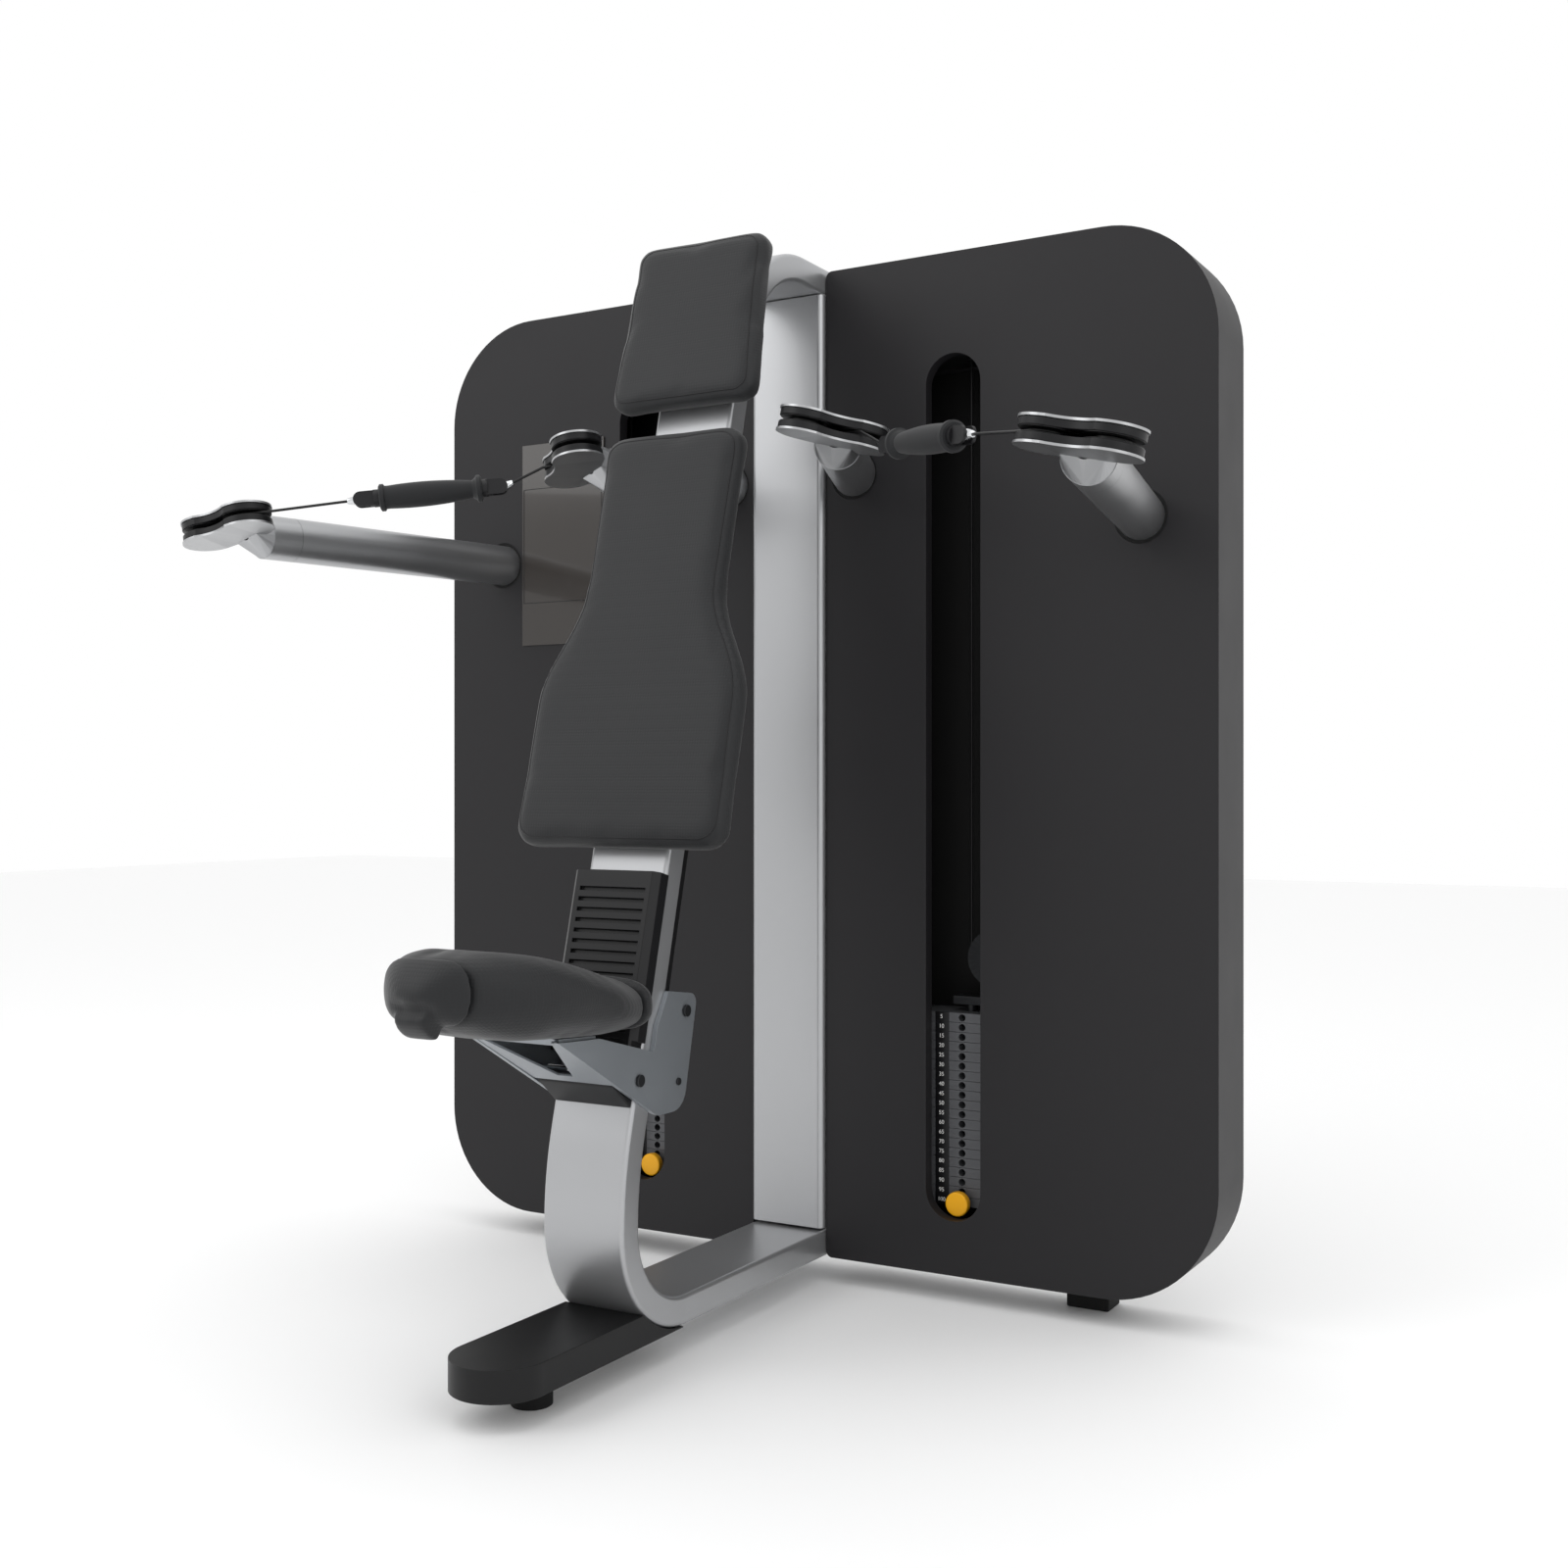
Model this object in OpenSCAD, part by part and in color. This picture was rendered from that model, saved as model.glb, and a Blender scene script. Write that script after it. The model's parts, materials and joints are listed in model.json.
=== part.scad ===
// Seated cable press station with two weight stacks.
// X runs across (mirror plane X = 0), +Y to the back, +Z up, floor at Z = 0.
// Every module works from the housings' front plane at Y = 0; at_floor_centre() then
// moves it so that the origin is the middle of the footprint's box.

/* [Housings] */
// Height of each housing above its underside
housing_h = 1500; // [1450:10:1600]
// Width of one housing
housing_w = 604; // [590:2:640]
// Depth of a housing, front face to rear cover
housing_d = 124; // [120:2:140]
// Radius of the outer corners
housing_r = 165; // [120:5:200]
// Gap between the underside and the floor
ground_gap = 40; // [36:1:60]
// Sheet thickness of the housing
skin = 3; // [2:0.5:4]

/* [Weight stack] */
// Number of weight plates
plate_count = 20; // [8:1:20]
// Spacing of the plates
plate_pitch = 14.35; // [12:0.05:16]
// Distance of the selector from the mirror plane
stack_x = 272; // [262:1:282]
// Width of a weight plate
plate_w = 300; // [260:5:310]
// Width of the slot in the housing
slot_w = 87; // [70:1:100]

/* [Frame band] */
// Width of the bent frame band
band_w = 125; // [110:1:127]
// Thickness of the frame band
band_t = 40; // [36:1:44]
// Backward lean of the seat post, in degrees
lean = 14.4; // [13.5:0.1:15]

/* [Arms] */
// Outside diameter of an arm tube
arm_d = 66; // [50:1:70]
// Diameter of a sheave over its flanges
sheave_d = 70; // [60:1:72]
// Diameter of the cable
cable_d = 4; // [3:0.5:5]

/* [Handles] */
// Length of a grip between the outer faces of its collars
grip_l = 150; // [120:5:155]
// Largest diameter of a grip
grip_d = 37; // [28:1:40]

/* [Pads] */
// Thickness of the back and head pads
pad_t = 42; // [30:1:43]

/* [Hidden] */
$fn = 64;

eps = 0.2;                          // air between touching pieces
y_front = -864;                     // foremost point, the seat's nose
shift_y = -(y_front + housing_d) / 2;
z0 = ground_gap;                    // underside of the housings and the base beam
z_top = z0 + housing_h;
x_in = 64;                          // inner side of a housing
x_out = x_in + housing_w;
silver = [0.78, 0.78, 0.79];
charcoal = [0.20, 0.20, 0.21];
black = [0.07, 0.07, 0.08];

module at_floor_centre() {
    translate([0, shift_y, 0])
        children();
}

module mirrored(side) {
    flip = side > 0 ? 0 : 1;
    mirror([flip, 0, 0])
        children();
}

// A shape drawn in X and Z, made solid from Y = ya to Y = yb.
module slab(ya, yb) {
    translate([0, yb, 0])
        rotate([90, 0, 0])
            linear_extrude(yb - ya)
                children();
}

// A shape drawn in Y and Z, made solid from X = xa to X = xb.
module side_slab(xa, xb) {
    translate([xa, 0, 0])
        rotate([90, 0, 90])
            linear_extrude(xb - xa)
                children();
}

module rod_y(r, ya, yb) {
    translate([0, ya, 0])
        rotate([-90, 0, 0])
            cylinder(r = r, h = yb - ya);
}

module rod_x(r, xa, xb) {
    translate([xa, 0, 0])
        rotate([0, 90, 0])
            cylinder(r = r, h = xb - xa);
}

// ---------------------------------------------------------------- housings
slot_z0 = z0 + 80;
slot_z1 = z0 + 1351;
slot_x = stack_x + 3;
outer_root = [559, 1131];
inner_root = [112, 1228];
arm_hole_r = arm_d / 2 + 5;        // hole round an arm tube, with room for its tilt

// Rounded panel outline with a small inner and a large outer corner radius.
module panel_outline(inset) {
    ri = 10;
    ro = housing_r - inset;
    xa = x_in + inset;
    xb = x_out - inset;
    za = z0 + inset;
    zb = z_top - inset;
    translate([xa + ri, za])
        square([xb - xa - ri - ro, zb - za]);
    translate([xa, za + ri])
        square([ri + 1, zb - za - 2 * ri]);
    translate([xb - ro - 1, za + ro])
        square([ro + 1, zb - za - 2 * ro]);
    for (z = [za + ri, zb - ri])
        translate([xa + ri, z])
            circle(ri);
    for (z = [za + ro, zb - ro])
        translate([xb - ro, z])
            circle(ro, $fn = 128);
}

module slot_outline(grow) {
    r = slot_w / 2 + grow;
    translate([slot_x - r, slot_z0 + slot_w / 2])
        square([2 * r, slot_z1 - slot_z0 - slot_w]);
    for (z = [slot_z0 + slot_w / 2, slot_z1 - slot_w / 2])
        translate([slot_x, z])
            circle(r);
}

cover_t = 6;                        // thickness of a rear cover

module housing_shell() {
    difference() {
        slab(0, housing_d - cover_t)
            panel_outline(0);
        slab(skin, housing_d)
            panel_outline(skin);
        slab(-1, skin + 1)
            slot_outline(0);
        for (p = [outer_root, inner_root])
            translate([p[0], 0, p[1]])
                rod_y(arm_hole_r, -1, skin + 1);
    }
    // rim folded back around the slot
    slab(skin, skin + 18)
        difference() {
            slot_outline(2);
            slot_outline(0);
        }
}

module rear_covers() {
    at_floor_centre() color(charcoal)
        for (side = [-1, 1])
            mirrored(side)
                slab(housing_d - cover_t + eps, housing_d)
                    panel_outline(0);
}

module left_housing() {
    at_floor_centre() color(charcoal) mirrored(-1) housing_shell();
}

module right_housing() {
    at_floor_centre() color(charcoal) mirrored(1) housing_shell();
}

module info_panel() {
    at_floor_centre() color([0.30, 0.28, 0.27])
        translate([-517, -3, 993])
            cube([168, 3 - eps, 337]);
}

module housing_feet() {
    foot_x = 456;
    at_floor_centre() color(black)
        for (side = [-1, 1])
            translate([side * foot_x - 32, 70, 0])
                cube([64, 50, z0 - eps]);
}

// ---------------------------------------------------------------- frame
band_r = 6;                         // corner radius of the band's section
band_wall = 3;
weld = 0.05;                        // half the air at a butt joint of the band
base_z1 = z0 + band_t;
bend_r = 110;                       // inner radius of the bend at the floor
bend_y = -386;
bend_z = base_z1 + bend_r;
sweep_r = 460;                      // inner radius of the gentle curve above it
sweep_y = bend_y - bend_r + sweep_r;
top_r = 140;                        // inner radius of the bend at the top
top_z = z_top + 6 - band_t - top_r;
front_y = sweep_y - (sweep_r + band_t) * cos(lean);
front_z = bend_z + (sweep_r + band_t) * sin(lean);
top_y = front_y + (top_r + band_t + (top_z - front_z) * sin(lean)) / cos(lean);
post_l = (top_z - front_z) * cos(lean) + (top_y - front_y) * sin(lean);

// Section of the band: X is the width, Y the thickness from 0 to band_t.
module band_section(grow) {
    w = band_w / 2 + grow;
    r = band_r + grow;
    translate([-w + r, -grow])
        square([2 * (w - r), band_t + 2 * grow]);
    translate([-w, -grow + r])
        square([2 * w, band_t + 2 * grow - 2 * r]);
    for (x = [-w + r, w - r], y = [-grow + r, band_t + grow - r])
        translate([x, y])
            circle(r, $fn = 32);
}

// Hollow band along +Z of the given length, short of both ends by the weld gap.
module band_run(len) {
    translate([0, 0, weld])
        linear_extrude(len - 2 * weld)
            difference() {
                band_section(0);
                band_section(-band_wall);
            }
}

// Bend of the band about a line along X; a0 = 0 is straight down, a0 = -90 straight ahead.
module band_bend(r_in, a0, sweep) {
    trim = weld / r_in * 180 / PI;
    rotate([0, 90, 0])
        rotate([0, 0, a0 + trim])
            rotate_extrude(angle = sweep - 2 * trim, $fn = 128)
                translate([r_in, 0])
                    rotate([0, 0, 90])
                        mirror([0, 1])
                            difference() {
                                band_section(0);
                                band_section(-band_wall);
                            }
}

module base_beam() {
    at_floor_centre() color(silver)
        translate([0, housing_d - 14, z0])
            rotate([90, 0, 0])
                band_run(housing_d - 14 - bend_y - eps);
}

module seat_post() {
    at_floor_centre() color(silver) {
        translate([0, bend_y, bend_z])
            band_bend(bend_r, -90, 90);
        translate([0, sweep_y, bend_z])
            band_bend(sweep_r, -90 - lean, lean);
        translate([0, front_y, front_z])
            rotate([-lean, 0, 0])
                band_run(post_l);
        translate([0, top_y, top_z])
            band_bend(top_r, -180, 90 - lean);
        translate([0, top_y, top_z + top_r + band_t])
            rotate([-90, 0, 0])
                band_run(housing_d - 14 - top_y);
    }
}

module post_frame(y_off, z_off) {
    translate([0, front_y, front_z])
        rotate([-lean, 0, 0])
            translate([0, y_off, z_off])
                children();
}

module post_rear_strip() {
    at_floor_centre() color(black)
        post_frame(band_t + eps, 165)
            translate([-55, 0, 0])
                cube([110, 18, 800]);
}

module centre_column() {
    col_w = band_w / 2;
    col_z0 = base_z1 + 4;
    col_z1 = z_top + 6 - band_t - 1;
    r = 9;
    at_floor_centre() color(silver)
        translate([0, 0, col_z0])
            linear_extrude(col_z1 - col_z0)
                difference() {
                    column_section(col_w, r, 0);
                    column_section(col_w, r, 3);
                }
}

module column_section(w, r, inset) {
    rr = r - inset;
    x = w - inset;
    ya = -10 + inset;
    translate([-x, ya + rr])
        square([2 * x, 30 - ya - rr + inset * 4]);
    translate([-x + rr, ya])
        square([2 * (x - rr), rr + 1]);
    for (s = [-1, 1])
        translate([s * (x - rr), ya + rr])
            circle(rr);
}

module column_spine() {
    at_floor_centre() color(black)
        difference() {
            translate([-45, 44, base_z1 + eps])
                cube([90, 62, z_top + 6 - band_t - base_z1 - 2 * eps]);
            translate([-40, 49, base_z1 - 1])
                cube([80, 52, z_top]);
        }
}

module nose_foot() {
    foot_w = 62.7;
    foot_y0 = -760;
    at_floor_centre() color(black)
        difference() {
            translate([0, 0, z0 - 2])
                linear_extrude(band_t) {
                    translate([0, foot_y0 + foot_w])
                        circle(foot_w);
                    translate([-foot_w, foot_y0 + foot_w])
                        square([2 * foot_w, bend_y - foot_y0 - foot_w - 8]);
                }
            translate([0, bend_y, bend_z])
                rod_x(bend_r + band_t + 0.5, -80, 80);
            translate([0, -638, 0])
                cylinder(r = 6.1, h = z0 + 20);
        }
}

module levelling_foot() {
    at_floor_centre() color(black)
        translate([0, -638, 0]) {
            cylinder(r = 26, h = 25);
            cylinder(r = 19, h = z0 - 2 - eps);
            cylinder(r = 6, h = z0 + 16);
        }
}

// ---------------------------------------------------------------- seat bracket and cover
// Points of an arc that rounds the corner p between its neighbours a and b.
function unit(v) = v / norm(v);
function corner(a, p, b, r) =
    let (u = unit(a - p), v = unit(b - p),
        half = acos(u * v) / 2,
        c = p + unit(u + v) * r / sin(half),
        t0 = p + u * r / tan(half),
        t1 = p + v * r / tan(half))
    [for (i = [0 : 5])
        let (m = t0 + (t1 - t0) * i / 5)
        c + unit(m - c) * r];
function rounded(pts, radii) =
    [for (i = [0 : len(pts) - 1])
        let (n = len(pts),
            ring = radii[i] == 0 ? [pts[i]]
                : corner(pts[(i + n - 1) % n], pts[i], pts[(i + 1) % n], radii[i]))
        for (q = ring) q];

// Side plate of the bracket, in Y and Z.
plate_pts = [[-677, 452], [-592, 447], [-474, 415], [-466, 447], [-440, 490],
    [-371, 480], [-404, 331], [-466, 331]];
plate_radii = [0, 0, 6, 0, 3, 14, 30, 40];
plate_bolts = [[-400, 460, 8], [-508, 383, 8], [-418, 369, 5]];
lip_from = [-677, 452];
lip_to = [-497, 350];
lip_l = norm(lip_to - lip_from);
lip_a = atan2(lip_to[1] - lip_from[1], lip_to[0] - lip_from[0]);
lip_end = lip_l - 69;               // the lip stops in front of the black block

module seat_bracket() {
    at_floor_centre() color(silver) {
        for (side = [-1, 1])
            mirrored(side)
                difference() {
                    side_slab(band_w / 2 + eps, band_w / 2 + 7)
                        polygon(rounded(plate_pts, plate_radii));
                    for (b = plate_bolts)
                        translate([0, b[0], b[1]])
                            rod_x(b[2] / 2, 50, 80);
                }
        // panel folded in along the lower edges, with a V-shaped opening
        translate([0, lip_from[0], lip_from[1]])
            rotate([lip_a, 0, 0])
                translate([0, 4, 0.5])
                    linear_extrude(3)
                        polygon([[-62.6, 0], [-56, 0], [-12, 118], [12, 118], [56, 0], [62.6, 0],
                            [62.6, lip_end], [-62.6, lip_end]]);
        // pan under the seat
        side_slab(-62.6, 62.6)
            polygon([[-668, 455], [-592, 450], [-592, 441], [-662, 446]]);
    }
}

module bracket_block() {
    at_floor_centre() color(black)
        side_slab(-60, 60)
            polygon([[front_y + 8, front_z + 33], [front_y - 28, front_z + 64],
                [front_y - 30, front_z + 72], [front_y + 17.5, front_z + 72]]);
}

// Tie rod under the seat, and two spacers behind the post.
module cross_rod() {
    at_floor_centre() color([0.85, 0.85, 0.87])
        for (p = [[-556, 398, 5], [plate_bolts[0][0], plate_bolts[0][1], 9],
                [plate_bolts[2][0], plate_bolts[2][1], 7]])
            translate([0, p[0], p[1]])
                rod_x(p[2], -62, 62);
}

module ribbed_cover() {
    half = 68;
    foot_half = band_w / 2 - 0.1;   // the foot fits between the bracket's plates
    foot_l = 20;
    len = 240;
    thick = 27;
    bevel = 12;
    rib_pitch = 14;
    at_floor_centre() color(black)
        post_frame(-thick - eps, 97)
            difference() {
                union() {
                    translate([-half, 0, foot_l])
                        cube([2 * half, thick, len - foot_l]);
                    translate([-foot_half, 0, 0])
                        cube([2 * foot_half, thick, foot_l + 1]);
                }
                for (s = [-1, 1])
                    translate([s * half, 0, len / 2])
                        rotate([0, 0, 45])
                            cube([bevel, bevel, 2 * len], center = true);
                for (i = [0 : 14])
                    translate([-52, -1, 16 + i * rib_pitch])
                        cube([104, 7, 5]);
            }
}

module frame_bolts() {
    at_floor_centre() color(black)
        for (side = [-1, 1], b = plate_bolts)
            mirrored(side)
                translate([0, b[0], b[1]]) {
                    rod_x(b[2], band_w / 2 + 7 + eps, band_w / 2 + 7 + b[2] * 0.55);
                    rod_x(b[2] / 2 - eps, band_w / 2 + eps, band_w / 2 + 8);
                }
}

// ---------------------------------------------------------------- pads
pad_y = -48.3;                      // front face of the pads, ahead of the post
back_z0 = 366;
back_h = 588;
head_z0 = 995;
head_h = 254;

function back_half(t) = 112 + 53 * pow(sin(90 * max(0, min(1, (365 - t * back_h) / 165))), 2);
function cap_inset(z, r) = z >= r ? 0 : r - sqrt(r * r - (r - z) * (r - z));
function pad_x(z, h, half, r) = half - cap_inset(z, r) - cap_inset(h - z, r);

module back_outline() {
    r = 32;
    n = 48;
    right = [for (i = [0 : n])
        let (z = back_h * (1 - cos(180 * i / n)) / 2)
        [pad_x(z, back_h, back_half(z / back_h), r), z]];
    left = [for (i = [n : -1 : 0]) [-right[i][0], right[i][1]]];
    polygon(concat(right, left));
}

module head_outline() {
    r = 26;
    n = 32;
    right = [for (i = [0 : n])
        let (z = head_h * (1 - cos(180 * i / n)) / 2)
        [pad_x(z, head_h, 118 - 14 * z / head_h, r), z]];
    left = [for (i = [n : -1 : 0]) [-right[i][0], right[i][1]]];
    polygon(concat(right, left));
}

module backrest_pad() {
    at_floor_centre() color(charcoal)
        post_frame(pad_y, back_z0)
            slab(0, pad_t)
                back_outline();
}

module headrest_pad() {
    at_floor_centre() color(charcoal)
        post_frame(pad_y, head_z0)
            slab(0, pad_t)
                head_outline();
}

module pad_plates() {
    plate_y = pad_y + pad_t + eps;
    plate_t = -pad_y - pad_t - 2 * eps;
    at_floor_centre() color(black) {
        post_frame(plate_y, back_z0 + 30)
            translate([-85, 0, 0])
                cube([170, plate_t, back_h - 60]);
        post_frame(plate_y, head_z0 + 25)
            translate([-75, 0, 0])
                cube([150, plate_t, head_h - 50]);
    }
}

// Closed solid through equal rings of points.
module ring_solid(rings) {
    n = len(rings[0]);
    last = len(rings) - 1;
    points = [for (ring = rings) for (p = ring) p];
    sides = [for (i = [0 : last - 1], k = [0 : n - 1])
        let (a = i * n + k,
            b = i * n + (k + 1) % n)
        each [[a, b, b + n], [a, b + n, a + n]]];
    start = [for (k = [n - 1 : -1 : 0]) k];
    finish = [for (k = [0 : n - 1]) last * n + k];
    polyhedron(points, concat(sides, [start, finish]));
}

// Seat: a loft of rounded sections along Y, described by its width, crown and underside.
function ease(t) = t * t * (3 - 2 * t);
function seat_half(y) = y < -640
    ? 129 * pow(1 - pow((-640 - y) / 224.5, 2.1), 0.62)
    : 98 + 31 * ease((-503 - y) / 137);
function seat_top(y) = y < -790
    ? 505 + 66 * sqrt(max(0, 1 - pow((-790 - y) / 74.5, 2)))
    : 571 - 56 * ease((y + 790) / 287);
function seat_low(y) = y < -740
    ? 462 + 36 * pow((-740 - y) / 124, 1.3)
    : 462 - 15 * (y + 740) / 237;

module seat_loft(ya, yb, steps) {
    n = 24;
    rings = [for (i = [0 : steps])
        let (y = ya + (yb - ya) * i / steps,
            w = seat_half(y),
            zt = seat_top(y),
            zl = seat_low(y),
            m = (zt + zl) / 2,
            h = (zt - zl) / 2)
        [for (k = [0 : n - 1])
            let (a = 360 * k / n,
                c = cos(a),
                s = sin(a))
            [w * sign(c) * pow(abs(c), 0.55), y, m + h * sign(s) * pow(abs(s), 0.75)]]];
    ring_solid(rings);
}

module seat_pad() {
    at_floor_centre() color(charcoal)
        seat_loft(-826, -541, 18);
}

module seat_nose() {
    at_floor_centre() color(charcoal)
        seat_loft(y_front, -826.5, 6);
}

module seat_rear_cap() {
    at_floor_centre() color(charcoal)
        seat_loft(-540.5, -517, 3);
}

// ---------------------------------------------------------------- arms and heads
outer_yaw = 11.3;
inner_yaw = 21.8;
outer_reach = 524;                  // root to the middle of the head
inner_reach = 283;
outer_turn = -13.6;                 // head's long axis against the arm, seen from above
inner_turn = 22.0;
head_roll = 11.8;                   // tilt of the head about the arm
head_lift = 10;                     // head's middle plane above the arm's axis
arm_wall = 4;                       // wall of an arm tube
neck_l = 108;                       // middle of the head back to the swivel joint
sheave_gap = 38.5;                  // sheave centre to the head's middle
head_r = 38;
sheave_r = sheave_d / 2;
wrap_r = 24;                        // radius at which the cable runs round a sheave
axle_r = 6;                         // axle of a sheave
shell_gap = 4;                      // shell's inner face from the head's middle plane
cheek_t = 3;                        // thickness of a cheek plate
cheek_z = 13.5;                     // inner face of a cheek from the head's middle plane
groove_air = 0.6;                   // between the cable and the root of a groove
head_exit = 42;                     // behind the head's middle, where a cable leaves its plane
mouth_l = 34;                       // sheave to the head's mouth, along the free cable
mouth_play = 0.8;                   // how far the cable sits off the plane in the mouth

// Local -Y runs along the arm, away from the housing.
module arm_frame(root, yaw) {
    translate([root[0], 0, root[1]])
        rotate([0, 0, yaw])
            children();
}

function rot_z(v, a) = [v[0] * cos(a) - v[1] * sin(a), v[0] * sin(a) + v[1] * cos(a), v[2]];
function rot_y(v, a) = [v[0] * cos(a) + v[2] * sin(a), v[1], -v[0] * sin(a) + v[2] * cos(a)];
function arm_point(root, yaw, v) = [root[0], 0, root[1]] + rot_z(v, yaw);
function head_point(root, yaw, reach, turn, v) =
    arm_point(root, yaw, [0, -reach, head_lift] + rot_y(rot_z(v, turn), head_roll));

module head_frame(root, yaw, reach, turn) {
    arm_frame(root, yaw)
        translate([0, -reach, head_lift])
            rotate([0, head_roll, 0])
                rotate([0, 0, turn])
                    children();
}

module arm_tube(root, yaw, reach) {
    arm_frame(root, yaw)
        difference() {
            rod_y(arm_d / 2, -reach + neck_l + 0.5, 20);
            rod_y(arm_d / 2 - arm_wall, -reach + neck_l - 1, 30);
        }
    // flange inside the housing
    difference() {
        translate([root[0] - 44, skin + 1, root[1] - 60])
            cube([88, 6, 120]);
        translate([root[0], 0, root[1]])
            rotate([0, 0, yaw])
                rod_y(arm_d / 2 - 1, -20, 30);
        for (dx = [-34, 34], dz = [-50, 50])
            translate([root[0] + dx, 0, root[1] + dz])
                rod_y(4.5, 0, 20);
    }
}

module head_outline_2d(grow) {
    difference() {
        union() {
            for (s = [-1, 1])
                translate([s * sheave_gap, 0])
                    circle(head_r + grow);
            translate([-sheave_gap, -head_r - grow])
                square([2 * sheave_gap, 2 * (head_r + grow)]);
        }
        translate([0, -head_r - 52])
            circle(60 - grow);
    }
}

// Room between the cheek plates that the neck keeps clear of.
module head_room() {
    r = head_r + 0.3;
    cube([2 * sheave_gap, 2 * r, 2 * cheek_z], center = true);
    for (s = [-1, 1])
        translate([s * sheave_gap, 0, -cheek_z])
            cylinder(r = r, h = 2 * cheek_z);
}

// Silver frame of a head: swivel collar, neck, cheek plates and sheave axles.
module head_body(root, yaw, reach, turn) {
    arm_frame(root, yaw)
        difference() {
            union() {
                translate([0, -reach, 0])
                    rod_y(arm_d / 2, 60, neck_l);
                translate([0, -reach, 0])
                    rod_y(arm_d / 2 - arm_wall - 0.05, neck_l - 1, neck_l + 32);
                hull() {
                    translate([0, -reach, 0])
                        rod_y(arm_d / 2 - 0.5, 60, 61, $fn = 32);
                    translate([0, -reach, head_lift])
                        rotate([0, head_roll, 0])
                            translate([-26, 29, -cheek_z - 2])
                                cube([52, 6, 2 * (cheek_z + 2)]);
                }
            }
            translate([0, -reach, 5])
                rod_y(13, 0, neck_l + 40);
            translate([0, -reach, head_lift])
                rotate([0, head_roll, 0])
                    rotate([0, 0, turn])
                        head_room();
        }
    head_frame(root, yaw, reach, turn) {
        for (z = [-cheek_z - cheek_t, cheek_z])
            translate([0, 0, z])
                linear_extrude(cheek_t)
                    head_outline_2d(0);
        for (s = [-1, 1])
            translate([s * sheave_gap, 0, -cheek_z - 1])
                cylinder(r = axle_r, h = 2 * cheek_z + 2);
    }
}

module head_shells(root, yaw, reach, turn) {
    head_frame(root, yaw, reach, turn)
        difference() {
            for (z = [-cheek_z + eps, shell_gap])
                translate([0, 0, z])
                    linear_extrude(cheek_z - shell_gap - eps)
                        head_outline_2d(-1.5);
            for (s = [-1, 1])
                translate([s * sheave_gap, 0, -20])
                    cylinder(r = axle_r + eps, h = 40);
        }
}

module sheave(root, yaw, reach, turn, s) {
    half = shell_gap - 0.3;
    bore = axle_r + 0.05;
    root_r = wrap_r - cable_d / 2 - groove_air;
    head_frame(root, yaw, reach, turn)
        translate([s * sheave_gap, 0, 0])
            rotate_extrude()
                polygon([[bore, -half], [sheave_r, -half], [sheave_r, -half + 0.6],
                    [root_r + 3, -cable_d / 2 - 0.4], [root_r, -cable_d / 2 + 0.6],
                    [root_r, cable_d / 2 - 0.6], [root_r + 3, cable_d / 2 + 0.4],
                    [sheave_r, half - 0.6], [sheave_r, half], [bore, half]]);
}

module left_outer_arm() {
    at_floor_centre() color(silver) mirrored(-1) arm_tube(outer_root, outer_yaw, outer_reach);
}

module right_outer_arm() {
    at_floor_centre() color(silver) mirrored(1) arm_tube(outer_root, outer_yaw, outer_reach);
}

module left_inner_arm() {
    at_floor_centre() color(silver) mirrored(-1) arm_tube(inner_root, inner_yaw, inner_reach);
}

module right_inner_arm() {
    at_floor_centre() color(silver) mirrored(1) arm_tube(inner_root, inner_yaw, inner_reach);
}

module outer_head(side) {
    at_floor_centre() color(silver) mirrored(side)
        head_body(outer_root, outer_yaw, outer_reach, outer_turn);
}

module inner_head(side) {
    at_floor_centre() color(silver) mirrored(side)
        head_body(inner_root, inner_yaw, inner_reach, inner_turn);
}

module outer_shells(side) {
    at_floor_centre() color(black) mirrored(side)
        head_shells(outer_root, outer_yaw, outer_reach, outer_turn);
}

module inner_shells(side) {
    at_floor_centre() color(black) mirrored(side)
        head_shells(inner_root, inner_yaw, inner_reach, inner_turn);
}

module outer_sheave(side, s) {
    at_floor_centre() color(black) mirrored(side)
        sheave(outer_root, outer_yaw, outer_reach, outer_turn, s);
}

module inner_sheave(side, s) {
    at_floor_centre() color(black) mirrored(side)
        sheave(inner_root, inner_yaw, inner_reach, inner_turn, s);
}

// ---------------------------------------------------------------- stacks
stack_z0 = 133.5;
stack_y0 = 40;
pin_r = 4.8;
stack_y1 = 112;
stem_y = 76;
rod_x_off = 115;
top_plate_z = slot_z1 + 4;
pulley_x = stack_x + 38;            // moving pulley, its left pitch line over the stem
pulley_z = 500;
pulley_pitch = 38;
rail_z = 60;                        // underside of the stack frame
floor_t = 10;                       // its lower rail
head_t = 7;                         // its upper rail, clear of the pulleys above
rail_y = 34;                        // front face of the rails
rail_d = 80;                        // depth of the rails
rod_r = 9;                          // guide rod

module stack_frame() {
    half = 162;
    post_t = 5;
    xa = stack_x - half;
    xb = stack_x + half;
    wall_x = 540;                   // the pulleys' back plate ends here
    wall_h = 100;
    difference() {
        union() {
            translate([xa, rail_y, rail_z])
                cube([xb - xa, rail_d, floor_t]);
            translate([xa, rail_y, top_plate_z])
                cube([xb - xa, rail_d, head_t]);
            for (x = [xa, xb - post_t])
                translate([x, rail_y, rail_z + floor_t])
                    cube([post_t, rail_d, top_plate_z - rail_z - floor_t]);
            translate([xa, 100, top_plate_z + head_t])
                cube([wall_x - xa, 6, wall_h]);
        }
        for (s = [-1, 1], z = [rail_z - 5, top_plate_z - 1])
            translate([stack_x + s * rod_x_off, stem_y, z])
                cylinder(r = rod_r + 0.2, h = 20);
        for (x = [stack_x, stack_x + 2 * pulley_pitch])
            translate([x, stem_y, top_plate_z - 1])
                cylinder(r = 8, h = 20);
    }
}

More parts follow.
